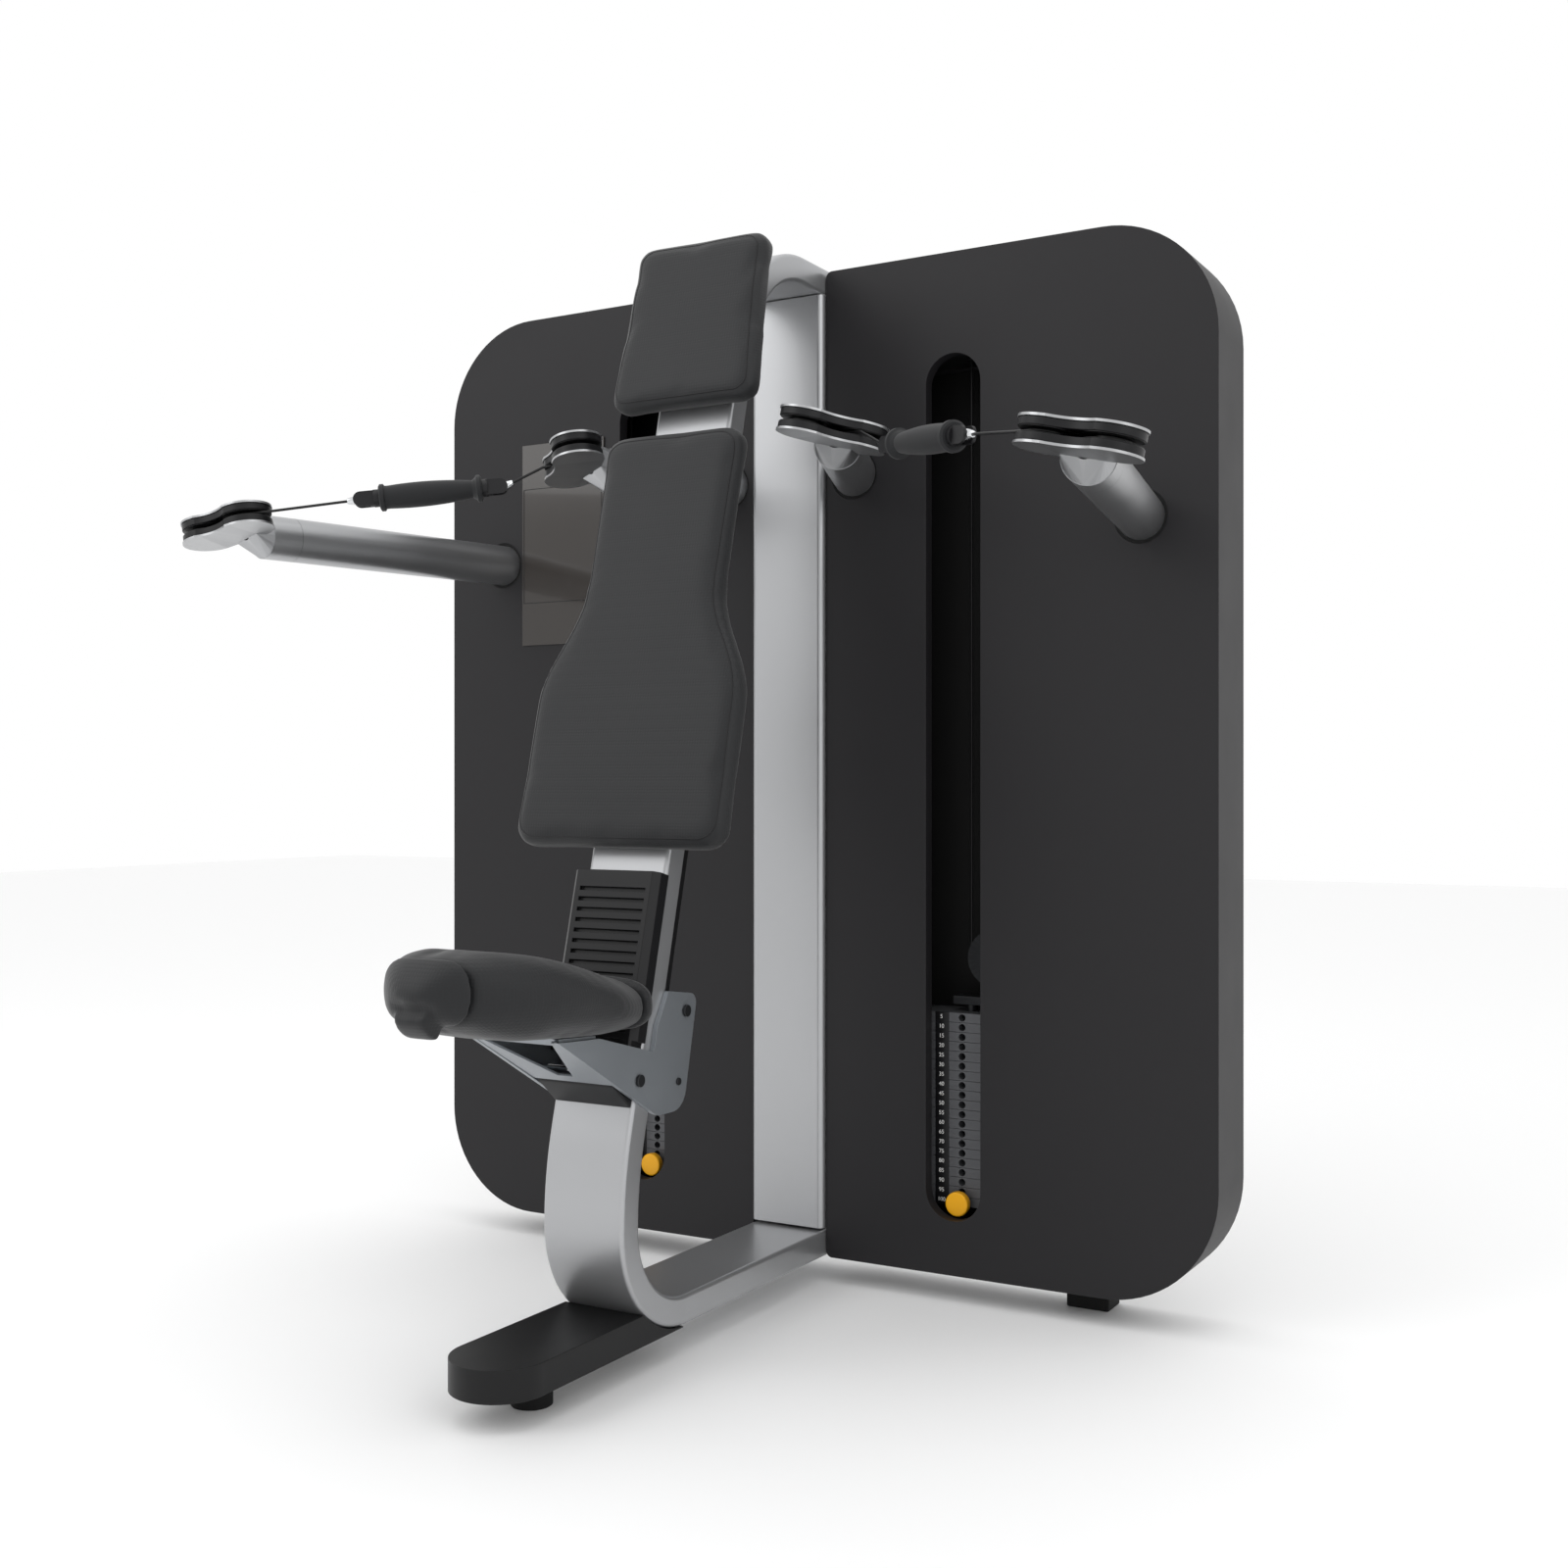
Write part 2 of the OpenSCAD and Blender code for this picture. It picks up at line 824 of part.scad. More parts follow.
module left_stack_frame() {
    at_floor_centre() color(black) mirrored(-1) stack_frame();
}

module right_stack_frame() {
    at_floor_centre() color(black) mirrored(1) stack_frame();
}

module guide_rods() {
    at_floor_centre() color([0.8, 0.8, 0.82])
        for (side = [-1, 1], s = [-1, 1])
            mirrored(side)
                translate([stack_x + s * rod_x_off, stem_y, rail_z])
                    cylinder(r = rod_r, h = top_plate_z + head_t - rail_z);
}

module stack_bumpers() {
    at_floor_centre() color(black)
        for (side = [-1, 1], s = [-1, 1])
            mirrored(side)
                translate([stack_x + s * rod_x_off, stem_y, rail_z + floor_t + eps])
                    difference() {
                        cylinder(r = 22, h = stack_z0 - rail_z - floor_t - 2 * eps);
                        translate([0, 0, -1])
                            cylinder(r = rod_r + 0.5, h = 100);
                    }
}

// Pulley on an axis along Y; r is the radius of the cable's centre line on it.
module grooved_pulley(r) {
    root_r = r - cable_d / 2 - groove_air;
    rotate([90, 0, 0])
        rotate_extrude()
            polygon([[6, -6], [r + 4, -6], [r + 4, -5], [root_r, -2.5], [root_r, 2.5],
                [r + 4, 5], [r + 4, 6], [6, 6]]);
}

corner_r = 21;                      // cable radius on the pulleys behind the arms
corner_y = 66;
inner_drop = arm_point(inner_root, inner_yaw, [0, corner_y + corner_r, corner_r]);
outer_drop = arm_point(outer_root, outer_yaw, [0, corner_y + corner_r, corner_r]);
top_line_z = top_plate_z + 50;
top_pulley_x = [inner_drop[0] + pulley_pitch, stack_x - pulley_pitch,
    stack_x + 3 * pulley_pitch, outer_drop[0] - pulley_pitch];

module guide_pulleys() {
    at_floor_centre() color(black)
        for (side = [-1, 1])
            mirrored(side) {
                for (x = top_pulley_x)
                    translate([x, stem_y, top_line_z]) {
                        grooved_pulley(pulley_pitch);
                        rod_y(5.9, -8, 23.5);
                    }
                for (p = [[outer_root, outer_yaw], [inner_root, inner_yaw]])
                    arm_frame(p[0], p[1])
                        translate([0, corner_y, corner_r])
                            rotate([0, 0, 90])
                                grooved_pulley(corner_r);
            }
}

plate_gap = 0.6;                    // air between two plates

module plate_solid(z) {
    difference() {
        translate([stack_x - plate_w / 2, stack_y0, z])
            cube([plate_w, stack_y1 - stack_y0, plate_pitch - plate_gap]);
        for (s = [-1, 1])
            translate([stack_x + s * rod_x_off, stem_y, z - 1])
                cylinder(r = rod_r + 0.6, h = plate_pitch + 2);
        translate([stack_x, stem_y, z - 1])
            cylinder(r = 10, h = plate_pitch + 2);
        translate([stack_x, 0, z + (plate_pitch - plate_gap) / 2])
            rod_y(pin_r + 0.6, 0, stem_y);
    }
}

module weight_plates(side) {
    at_floor_centre() color([0.35, 0.36, 0.37]) mirrored(side)
        for (i = [0 : plate_count - 1])
            plate_solid(stack_z0 + i * plate_pitch);
}

// Stem through the plates, with its yoke and the moving pulley on top.
module selector_stem(side) {
    stem_top = stack_z0 + plate_count * plate_pitch;
    at_floor_centre() color(black) mirrored(side) {
        difference() {
            translate([stack_x, stem_y, stack_z0])
                cylinder(r = 9, h = stem_top - stack_z0 + 10);
            for (i = [0 : plate_count - 1])
                translate([stack_x, 0, stack_z0 + (i + 0.5) * plate_pitch - plate_gap / 2])
                    rod_y(pin_r + 0.08, stack_y0, stack_y1);
        }
        translate([stack_x - 24, stem_y - 14, stem_top + 10])
            cube([84, 28, 12]);
        for (y = [stem_y - 14, stem_y + 10])
            slab(y, y + 4) {
                translate([pulley_x - 16, stem_top + 22])
                    square([32, pulley_z - stem_top - 22]);
                translate([pulley_x, pulley_z])
                    circle(16);
            }
        translate([pulley_x, stem_y, pulley_z]) {
            grooved_pulley(pulley_pitch);
            rod_y(6, -10, 10);
        }
    }
}

module selector_pin(side) {
    knob_y = 18.6;
    knob_t = 13;
    knob_r = 18;
    at_floor_centre() color([0.95, 0.72, 0.11]) mirrored(side)
        translate([stack_x, 0, stack_z0 + (plate_pitch - plate_gap) / 2]) {
            rod_y(knob_r, knob_y, knob_y + knob_t);
            rod_y(pin_r, knob_y + knob_t, stem_y + 8);
        }
}

// ---------------------------------------------------------------- handles
handle_outer = [490, -427.5, 1177];
handle_inner = [314, -298.5, 1202];
handle_v = handle_outer - handle_inner;
handle_l = norm(handle_v);
handle_mid = (handle_outer + handle_inner) / 2;
handle_yaw = atan2(handle_v[1], handle_v[0]);
handle_pitch = -asin(handle_v[2] / handle_l);

// Local X runs along the handle, outwards.
module handle_frame() {
    translate(handle_mid)
        rotate([0, handle_pitch, handle_yaw])
            children();
}

core_r = 8;                         // rod inside the grip

function grip_r(t) = grip_d / 2 - 3.2 * pow(abs(2 * t - 0.7), 2);

module grip(side) {
    half = grip_l / 2;
    bore = core_r + 0.05;
    n = 20;
    body = [for (i = [0 : n]) [grip_r(1 - i / n), -half + 14 + (grip_l - 28) * i / n]];
    outline = concat([[bore, -half], [17, -half], [20, -half + 2], [20, -half + 7],
        [17, -half + 9]], body, [[17, half - 9], [20, half - 7], [20, half - 2], [17, half],
        [bore, half]]);
    at_floor_centre() color(black) mirrored(side)
        handle_frame()
            rotate([0, 90, 0])
                rotate_extrude()
                    polygon(outline);
}

module handle_core(side) {
    half = grip_l / 2;
    fork_r = 11;                    // rounded end of a fork
    fork_w = 18;                    // width of a fork over its cheeks
    eye = handle_l / 2 - 8;         // cross pin of a swivel
    at_floor_centre() color(black) mirrored(side)
        handle_frame() {
            rod_x(core_r, -half - 1, half + 1);
            for (s = [-1, 1])
                mirror([s > 0 ? 0 : 1, 0, 0]) {
                    difference() {
                        union() {
                            rod_x(13, half + 0.6, half + 8);
                            translate([half + 6, -fork_w / 2, -fork_r])
                                cube([eye - half - 6, fork_w, 2 * fork_r]);
                            translate([eye, fork_w / 2, 0])
                                rotate([90, 0, 0])
                                    cylinder(r = fork_r, h = fork_w);
                        }
                        translate([half + 14, -5, -20])
                            cube([40, 10, 40]);
                    }
                    // swivel eye and its cross pin
                    translate([eye, fork_w / 2 - 1, 0])
                        rotate([90, 0, 0])
                            cylinder(r = 4, h = fork_w - 2);
                    translate([eye, 0, 0])
                        sphere(r = 7.5);
                }
        }
}

// ---------------------------------------------------------------- cables
// One cable on each side: from the handle's outer end over the outer head, down that arm,
// over two pulleys, round the stack's moving pulley, and back to the handle's inner end.
function back_z(v, a) = rot_z(v, -a);
function back_y(v, a) = rot_y(v, -a);
function into_head(root, yaw, reach, turn, p) =
    back_z(back_y(back_z(p - [root[0], 0, root[1]], yaw) + [0, reach, -head_lift], head_roll), turn);

// Angle on the sheave at which the cable leaves it towards h, given in the head's frame.
function leave_angle(s, h) =
    let (v = [s * h[0] - sheave_gap, h[1]],
        a = atan2(v[1], v[0]) - acos(wrap_r / norm(v)))
    a < 0 ? a + 360 : a;

// Where the cable bends over the lip of the shells, on its way to h.
function mouth_point(s, h, leave) =
    let (touch = [sheave_gap + wrap_r * cos(leave), wrap_r * sin(leave)],
        run = [s * h[0], h[1]] - touch,
        drift = h[2] * mouth_l / norm(run),
        q = touch + unit(run) * mouth_l)
    [s * q[0], q[1], max(-mouth_play, min(mouth_play, drift))];

function arm_path(root, yaw, reach, turn, s, handle_end) =
    let (h = into_head(root, yaw, reach, turn, handle_end),
        leave = leave_angle(s, h),
        steps = 6)
    concat([handle_end, head_point(root, yaw, reach, turn, mouth_point(s, h, leave))],
        [for (i = [0 : steps])
            let (a = leave + (180 - leave) * i / steps)
            head_point(root, yaw, reach, turn,
                [s * (sheave_gap + wrap_r * cos(a)), wrap_r * sin(a), 0])],
        [arm_point(root, yaw, [0, -reach + head_exit, head_lift]),
            arm_point(root, yaw, [0, -reach + 70, 6])],
        [for (a = [-90 : 15 : 0])
            arm_point(root, yaw,
                [0, corner_y + corner_r * cos(a), corner_r + corner_r * sin(a)])]);

// Points round a pulley in the plane of the stack's cables.
function pulley_path(x, z, a0, a1, step) =
    [for (a = [a0 : step : a1])
        [x + pulley_pitch * cos(a), stem_y, z + pulley_pitch * sin(a)]];

function reversed(list) = [for (i = [len(list) - 1 : -1 : 0]) list[i]];

cable_path = concat(
    arm_path(outer_root, outer_yaw, outer_reach, outer_turn, -1, handle_outer),
    pulley_path(top_pulley_x[3], top_line_z, 0, 90, 15),
    pulley_path(top_pulley_x[2], top_line_z, 90, 180, 15),
    pulley_path(pulley_x, pulley_z, 0, -180, -18),
    pulley_path(top_pulley_x[1], top_line_z, 0, 90, 15),
    pulley_path(top_pulley_x[0], top_line_z, 90, 180, 15),
    reversed(arm_path(inner_root, inner_yaw, inner_reach, inner_turn, 1, handle_inner)));

function heading(p, i) =
    i == 0 ? unit(p[1] - p[0])
    : i == len(p) - 1 ? unit(p[i] - p[i - 1])
    : unit(unit(p[i + 1] - p[i]) + unit(p[i] - p[i - 1]));

// Directions across the path, each turned as little as possible from the one before.
function carried(p, i, w) =
    i == len(p) ? []
    : let (t = heading(p, i),
        next = unit(w - (w * t) * t))
    concat([next], carried(p, i + 1, next));

module cable(side) {
    faces = 8;
    across = carried(cable_path, 0, [0, 0, 1]);
    rings = [for (i = [0 : len(cable_path) - 1])
        let (w = across[i],
            v = cross(w, heading(cable_path, i)))
        [for (k = [0 : faces - 1])
            let (a = 360 * k / faces)
            cable_path[i] + cable_d / 2 * (w * cos(a) + v * sin(a))]];
    at_floor_centre() color(black) mirrored(side)
        ring_solid(rings);
}

module left_outer_head() outer_head(-1);
module right_outer_head() outer_head(1);
module left_inner_head() inner_head(-1);
module right_inner_head() inner_head(1);
module left_outer_shells() outer_shells(-1);
module right_outer_shells() outer_shells(1);
module left_inner_shells() inner_shells(-1);
module right_inner_shells() inner_shells(1);
module left_outer_front_sheave() outer_sheave(-1, -1);
module left_outer_rear_sheave() outer_sheave(-1, 1);
module right_outer_front_sheave() outer_sheave(1, -1);
module right_outer_rear_sheave() outer_sheave(1, 1);
module left_inner_front_sheave() inner_sheave(-1, 1);
module left_inner_rear_sheave() inner_sheave(-1, -1);
module right_inner_front_sheave() inner_sheave(1, 1);
module right_inner_rear_sheave() inner_sheave(1, -1);
module left_weight_plates() weight_plates(-1);
module right_weight_plates() weight_plates(1);
module left_selector_stem() selector_stem(-1);
module right_selector_stem() selector_stem(1);
module left_selector_pin() selector_pin(-1);
module right_selector_pin() selector_pin(1);
module left_grip() grip(-1);
module right_grip() grip(1);
module left_handle_core() handle_core(-1);
module right_handle_core() handle_core(1);
module left_cable() cable(-1);
module right_cable() cable(1);

left_housing();
right_housing();
rear_covers();
centre_column();
column_spine();
base_beam();
seat_post();
nose_foot();
levelling_foot();
housing_feet();
post_rear_strip();
ribbed_cover();
backrest_pad();
headrest_pad();
pad_plates();
info_panel();
seat_bracket();
seat_pad();
seat_nose();
seat_rear_cap();
bracket_block();
cross_rod();
frame_bolts();
left_outer_arm();
left_inner_arm();
right_outer_arm();
right_inner_arm();
left_stack_frame();
right_stack_frame();
guide_rods();
guide_pulleys();
stack_bumpers();
left_outer_head();
left_inner_head();
right_outer_head();
right_inner_head();
left_outer_shells();
left_inner_shells();
right_outer_shells();
right_inner_shells();
left_outer_front_sheave();
left_outer_rear_sheave();
left_inner_front_sheave();
left_inner_rear_sheave();
right_outer_front_sheave();
right_outer_rear_sheave();
right_inner_front_sheave();
right_inner_rear_sheave();
left_weight_plates();
right_weight_plates();
left_selector_stem();
right_selector_stem();
left_selector_pin();
right_selector_pin();
left_grip();
right_grip();
left_handle_core();
right_handle_core();
left_cable();
right_cable();
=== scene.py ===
"""Seated cable press station: finishes, upholstery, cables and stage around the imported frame.

Sizes are in millimetres and are turned to metres by MM. The housings' front face is Y = 0 in
the sizes below, and at() moves a point from there into the frame.
"""

import bmesh
import bpy
import json
import math
from bpy.props import FloatProperty, FloatVectorProperty, IntProperty, PointerProperty
from mathutils import Matrix, Vector
from mathutils.bvhtree import BVHTree


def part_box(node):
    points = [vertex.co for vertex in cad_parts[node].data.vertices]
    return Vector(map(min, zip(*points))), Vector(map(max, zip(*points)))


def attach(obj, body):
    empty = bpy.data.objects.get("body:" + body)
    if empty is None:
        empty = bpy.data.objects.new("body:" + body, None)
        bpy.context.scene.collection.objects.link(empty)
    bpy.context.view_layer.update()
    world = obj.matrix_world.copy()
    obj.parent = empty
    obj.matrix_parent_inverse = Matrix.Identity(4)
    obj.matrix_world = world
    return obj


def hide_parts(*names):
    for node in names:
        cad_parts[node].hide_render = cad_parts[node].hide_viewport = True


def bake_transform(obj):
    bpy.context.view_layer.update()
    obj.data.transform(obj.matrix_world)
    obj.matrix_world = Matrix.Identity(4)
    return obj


bl_info = {
    "name": "Cable press station",
    "version": (1, 0, 0),
    "blender": (4, 5, 0),
    "location": "View3D > Sidebar > Press station",
    "description": "Finishes, upholstery and cables of a seated cable press station",
    "category": "Add Mesh",
}

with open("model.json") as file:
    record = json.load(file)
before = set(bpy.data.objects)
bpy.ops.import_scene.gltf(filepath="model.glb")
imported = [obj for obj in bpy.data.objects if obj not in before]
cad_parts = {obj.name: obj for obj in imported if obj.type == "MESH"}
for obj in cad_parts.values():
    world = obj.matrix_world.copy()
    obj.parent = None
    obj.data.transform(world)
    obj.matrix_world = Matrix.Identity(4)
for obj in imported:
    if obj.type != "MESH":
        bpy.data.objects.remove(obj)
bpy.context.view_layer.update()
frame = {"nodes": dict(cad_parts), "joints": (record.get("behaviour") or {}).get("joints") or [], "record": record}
RECORD = frame["record"]
JOINTS = {joint["name"]: joint for joint in frame["joints"]}
BODY_OF = {n: b for b, nodes in RECORD["behaviour"]["bodies"].items() for n in nodes}
SLOT_OF = {sub["node"]: sub["material_slot"] for sub in RECORD["subparts"]}
MM = 0.001
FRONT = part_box("right_housing")[0][1]
SIDES = {"left": -1, "right": 1}

# Bent band of the frame
BAND_W = 125
BAND_T = 40
BAND_EDGE = 6
LEAN = math.radians(14.4)
BEND_R = 110
SWEEP_R = 460
TOP_R = 140
BAND_REAR = 110
BEND_Y = -386

UPRIGHT = Matrix.Rotation(LEAN, 4, "X")
LEANED = UPRIGHT.inverted()

# Cable run
CABLE_R = 2
MOUTH_L = 34
WRAP_R = 24
PIN_TO_PIN = 219.6
STEM_X = 272
STEM_Y = 76
PULLEY_Z = 500
TOP_LINE_Z = 1445
PULLEY_PITCH = 38

# Stack scale
PLATE_COUNT = 20
PLATE_PITCH = 14.35
STACK_Z = 133.5
PLATE_FACE_Y = 40


def at(x, y, z):
    """A point given in millimetres from the housings' front face, in the frame's metres."""
    return Vector((x * MM, FRONT + y * MM, z * MM))


def linear(hex_colour):
    """sRGB hex to the linear RGBA that shaders take."""
    value = hex_colour.lstrip("#")
    channels = [int(value[i:i + 2], 16) / 255 for i in (0, 2, 4)]
    return [c / 12.92 if c <= 0.04045 else ((c + 0.055) / 1.055) ** 2.4 for c in channels] + [1.0]


def add(material, kind, settings=None, links=None):
    """Adds a shader node, sets its sockets and properties, and links sockets to others."""
    node = material.node_tree.nodes.new(kind)
    for key, value in (settings or {}).items():
        if key in node.inputs:
            node.inputs[key].default_value = value
        else:
            setattr(node, key, value)
    for socket, source in (links or {}).items():
        material.node_tree.links.new(source, node.inputs[socket])
    return node


def surface(name, colour, worn, rough, metallic=0.0, grain_mm=1.5, bump_mm=0.03, sheen=0.0,
            coat=0.0, cells_mm=0.0, spread=0.08):
    """A finish with fine grain, blotchy colour and roughness, and paler worn edges.

    colour and worn are hex; grain_mm is the size of the grain and bump_mm its height; cells_mm
    above 0 adds an embossed pattern of round pips of that spacing.
    """
    material = bpy.data.materials.new(name)
    material.use_nodes = True
    material.node_tree.nodes.clear()
    place = add(material, "ShaderNodeTexCoord").outputs["Object"]
    grain = add(material, "ShaderNodeTexNoise", {"Scale": 1000 / grain_mm, "Detail": 3.0},
                {"Vector": place})
    blotch = add(material, "ShaderNodeTexNoise", {"Scale": 9.0, "Detail": 5.0}, {"Vector": place})
    edge = add(material, "ShaderNodeNewGeometry")
    wear = add(material, "ShaderNodeMapRange",
               {"From Min": 0.52, "From Max": 0.62, "To Min": 0.0, "To Max": 0.45},
               {"Value": edge.outputs["Pointiness"]})
    base = add(material, "ShaderNodeMix", {"data_type": "RGBA"},
               {"Factor": wear.outputs["Result"]})
    base.inputs[6].default_value = linear(colour)
    base.inputs[7].default_value = linear(worn)
    tone = add(material, "ShaderNodeMapRange", {"To Min": 1 - spread, "To Max": 1 + spread},
               {"Value": blotch.outputs["Fac"]})
    shade = add(material, "ShaderNodeHueSaturation", {},
                {"Color": base.outputs[2], "Value": tone.outputs["Result"]})
    gloss = add(material, "ShaderNodeMapRange",
                {"To Min": max(rough - 0.05, 0.02), "To Max": min(rough + 0.05, 1.0)},
                {"Value": blotch.outputs["Fac"]})
    height = grain.outputs["Fac"]
    if cells_mm:
        cells = add(material, "ShaderNodeTexVoronoi",
                    {"Scale": 1000 / cells_mm, "Randomness": 0.12}, {"Vector": place})
        pips = add(material, "ShaderNodeMapRange",
                   {"From Min": 0.15, "From Max": 0.55, "To Min": 0.0, "To Max": 1.0},
                   {"Value": cells.outputs["Distance"]})
        mixed = add(material, "ShaderNodeMath", {"operation": "MULTIPLY_ADD"})
        mixed.inputs[1].default_value = 0.35
        material.node_tree.links.new(grain.outputs["Fac"], mixed.inputs[0])
        material.node_tree.links.new(pips.outputs["Result"], mixed.inputs[2])
        height = mixed.outputs["Value"]
    bump = add(material, "ShaderNodeBump", {"Strength": 0.6, "Distance": bump_mm * MM},
               {"Height": height})
    shader = add(material, "ShaderNodeBsdfPrincipled",
                 {"Metallic": metallic, "Sheen Weight": sheen, "Coat Weight": coat,
                  "Specular IOR Level": 0.5 if metallic else 0.28},
                 {"Base Color": shade.outputs["Color"], "Roughness": gloss.outputs["Result"],
                  "Normal": bump.outputs["Normal"]})
    add(material, "ShaderNodeOutputMaterial", {}, {"Surface": shader.outputs["BSDF"]})
    return material


FINISHES = {
    # moulded ABS with a fine spark-eroded texture: soft, even, slightly grey highlights
    "charcoal_housing": lambda: surface("Spark-textured ABS", "#1d1c1e", "#29292b", 0.5,
                                        grain_mm=1.2, bump_mm=0.04, spread=0.05),
    # steel with satin metallic paint: broad bright gradients, no sharp mirror
    "satin_silver": lambda: surface("Satin silver paint", "#acadaf", "#c6c7c8", 0.36, 0.75,
                                    grain_mm=0.8, bump_mm=0.012, coat=0.15, spread=0.03),
    # laser-cut plate with the same paint, a little darker and colder: painted shade
    "bracket_silver": lambda: surface("Silver paint with painted shade", "#93989d", "#b4b8bb", 0.38, 0.7,
                                      grain_mm=0.8, bump_mm=0.012, coat=0.1, spread=0.03),
    # bead-blasted and anodised aluminium: fine matt metal
    "arm_silver": lambda: surface("Anodised aluminium", "#a4a5a7", "#c6c7c8", 0.33, 0.9,
                                  grain_mm=0.7, bump_mm=0.015, spread=0.03),
    # fine-texture powder coat: near black, with a soft broad sheen
    "black_paint": lambda: surface("Black powder coat", "#0d0d0e", "#1c1c1d", 0.42,
                                   grain_mm=0.9, bump_mm=0.05, spread=0.06),
    # moulded natural rubber: dull, dusty black
    "foot_rubber": lambda: surface("Moulded rubber", "#0b0b0b", "#161616", 0.72,
                                   grain_mm=1.4, bump_mm=0.06, spread=0.1),
    # glass-filled nylon: dark grey-black with a satin skin
    "black_plastic": lambda: surface("Glass-filled nylon", "#0f0f11", "#1f1f21", 0.4,
                                     grain_mm=1.0, bump_mm=0.03, spread=0.06),
    # PVC leatherette embossed with small pips, drawn 4 mm apart so that they show
    "upholstery": lambda: surface("Embossed leatherette", "#17181a", "#232427", 0.5,
                                  grain_mm=0.9, bump_mm=0.28, sheen=0.15, cells_mm=4.0,
                                  spread=0.07),
    # acrylic, smoked: smooth, brownish and glossy
    "smoked_panel": lambda: surface("Smoked acrylic", "#2f2b28", "#3a3632", 0.12,
                                    grain_mm=6.0, bump_mm=0.004, coat=0.5, spread=0.03),
    # polished chromium plate
    "chrome": lambda: surface("Polished chrome", "#d5d7d9", "#e4e5e6", 0.1, 1.0,
                              grain_mm=3.0, bump_mm=0.003, spread=0.02),
    # blackened steel
    "dark_steel": lambda: surface("Blackened steel", "#28292b", "#46474a", 0.38, 0.6,
                                  grain_mm=0.9, bump_mm=0.02, spread=0.08),
    # sand-cast iron under grey paint: slightly uneven faces
    "plate_iron": lambda: surface("Painted cast iron", "#4a4b4e", "#68696c", 0.42, 0.2,
                                  grain_mm=2.2, bump_mm=0.08, spread=0.1),
    # turned nylon, waxy black
    "sheave_nylon": lambda: surface("Turned nylon", "#0f0f10", "#222223", 0.34,
                                    grain_mm=0.8, bump_mm=0.015, spread=0.05),
    # moulded polypropylene, signal yellow
    "yellow_knob": lambda: surface("Yellow polypropylene", "#f0ac12", "#f7c343", 0.34,
                                   grain_mm=1.0, bump_mm=0.015, coat=0.1, spread=0.04),
    # soft thermoplastic rubber: matt dark grey
    "grip_rubber": lambda: surface("Soft grip rubber", "#18191b", "#242527", 0.6,
                                   grain_mm=0.8, bump_mm=0.06, sheen=0.1, spread=0.06),
    # powder-coated forging
    "handle_black": lambda: surface("Coated forging", "#111113", "#222224", 0.4,
                                    grain_mm=0.9, bump_mm=0.03, spread=0.06),
    # steel cable in an extruded nylon sheath: shiny black
    "cable_black": lambda: surface("Sheathed cable", "#101011", "#1e1e1f", 0.3,
                                   grain_mm=1.0, bump_mm=0.01, spread=0.04),
}
made = {}


def finish(slot):
    """The material of a record slot, made once."""
    if slot not in made:
        made[slot] = FINISHES[slot]()
    return made[slot]


def place_piece(name, bm, slot, body, stands_for=(), smooth_angle=35, weighted=False, ride=True):
    """Turns a bmesh into a finished object on a body, with its shading and its slot."""
    mesh = bpy.data.meshes.new(name)
    bm.to_mesh(mesh)
    bm.free()
    mesh.materials.clear()
    mesh.materials.append(finish(slot))
    mesh.shade_smooth()
    mesh.set_sharp_from_angle(angle=math.radians(smooth_angle))
    piece = bpy.data.objects.new(name, mesh)
    bpy.context.scene.collection.objects.link(piece)
    if weighted:
        normals = piece.modifiers.new("Even faces", "WEIGHTED_NORMAL")
        normals.keep_sharp = True
    if ride:
        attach(piece, body)
    if stands_for:
        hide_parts(*stands_for)
    return piece


def cad_copy(node):
    """A merged copy of a CAD node's mesh."""
    bm = bmesh.new()
    bm.from_mesh(frame["nodes"][node].data)
    bmesh.ops.remove_doubles(bm, verts=bm.verts, dist=1e-6)
    return bm


def soften(node, width_mm, segments=3, angle=40):
    """Replaces a sharp CAD node by the same shape with rounded edges."""
    bm = cad_copy(node)
    bmesh.ops.dissolve_limit(bm, angle_limit=math.radians(0.4), verts=bm.verts, edges=bm.edges)
    limit = math.radians(angle)
    edges = [e for e in bm.edges if len(e.link_faces) == 2 and e.calc_face_angle(0) > limit]
    bmesh.ops.bevel(bm, geom=edges, offset=width_mm * MM, offset_type="OFFSET",
                    segments=segments, profile=0.5, affect="EDGES", clamp_overlap=True,
                    material=-1)
    return place_piece(node + "_finished", bm, SLOT_OF[node], BODY_OF[node], (node,),
                       weighted=True)


def tube(bm, start, end, radius, segments=12):
    """Straight capped tube with rings only at its ends."""
    run = end - start
    turn = run.to_track_quat("Z", "Y").to_matrix().to_4x4()
    matrix = Matrix.Translation((start + end) / 2) @ turn
    return bmesh.ops.create_cone(bm, cap_ends=True, segments=segments, radius1=radius,
                                 radius2=radius, depth=run.length, matrix=matrix)["verts"]


def swept(name, points, radius, slot, body, closed=False):
    """A round cord through points, as a mesh."""
    curve = bpy.data.curves.new(name, "CURVE")
    curve.dimensions = "3D"
    curve.bevel_depth = radius
    curve.bevel_resolution = 3
    curve.use_fill_caps = True
    spline = curve.splines.new("POLY")
    spline.points.add(len(points) - 1)
    for point, co in zip(spline.points, points):
        point.co = (*co, 1)
    spline.use_cyclic_u = closed
    holder = bpy.data.objects.new(name + "_curve", curve)
    bpy.context.scene.collection.objects.link(holder)
    bpy.context.view_layer.update()
    mesh = bpy.data.meshes.new_from_object(holder)
    bm = bmesh.new()
    bm.from_mesh(mesh)
    bpy.data.objects.remove(holder)
    bmesh.ops.recalc_face_normals(bm, faces=bm.faces)
    return place_piece(name, bm, slot, body, smooth_angle=80)


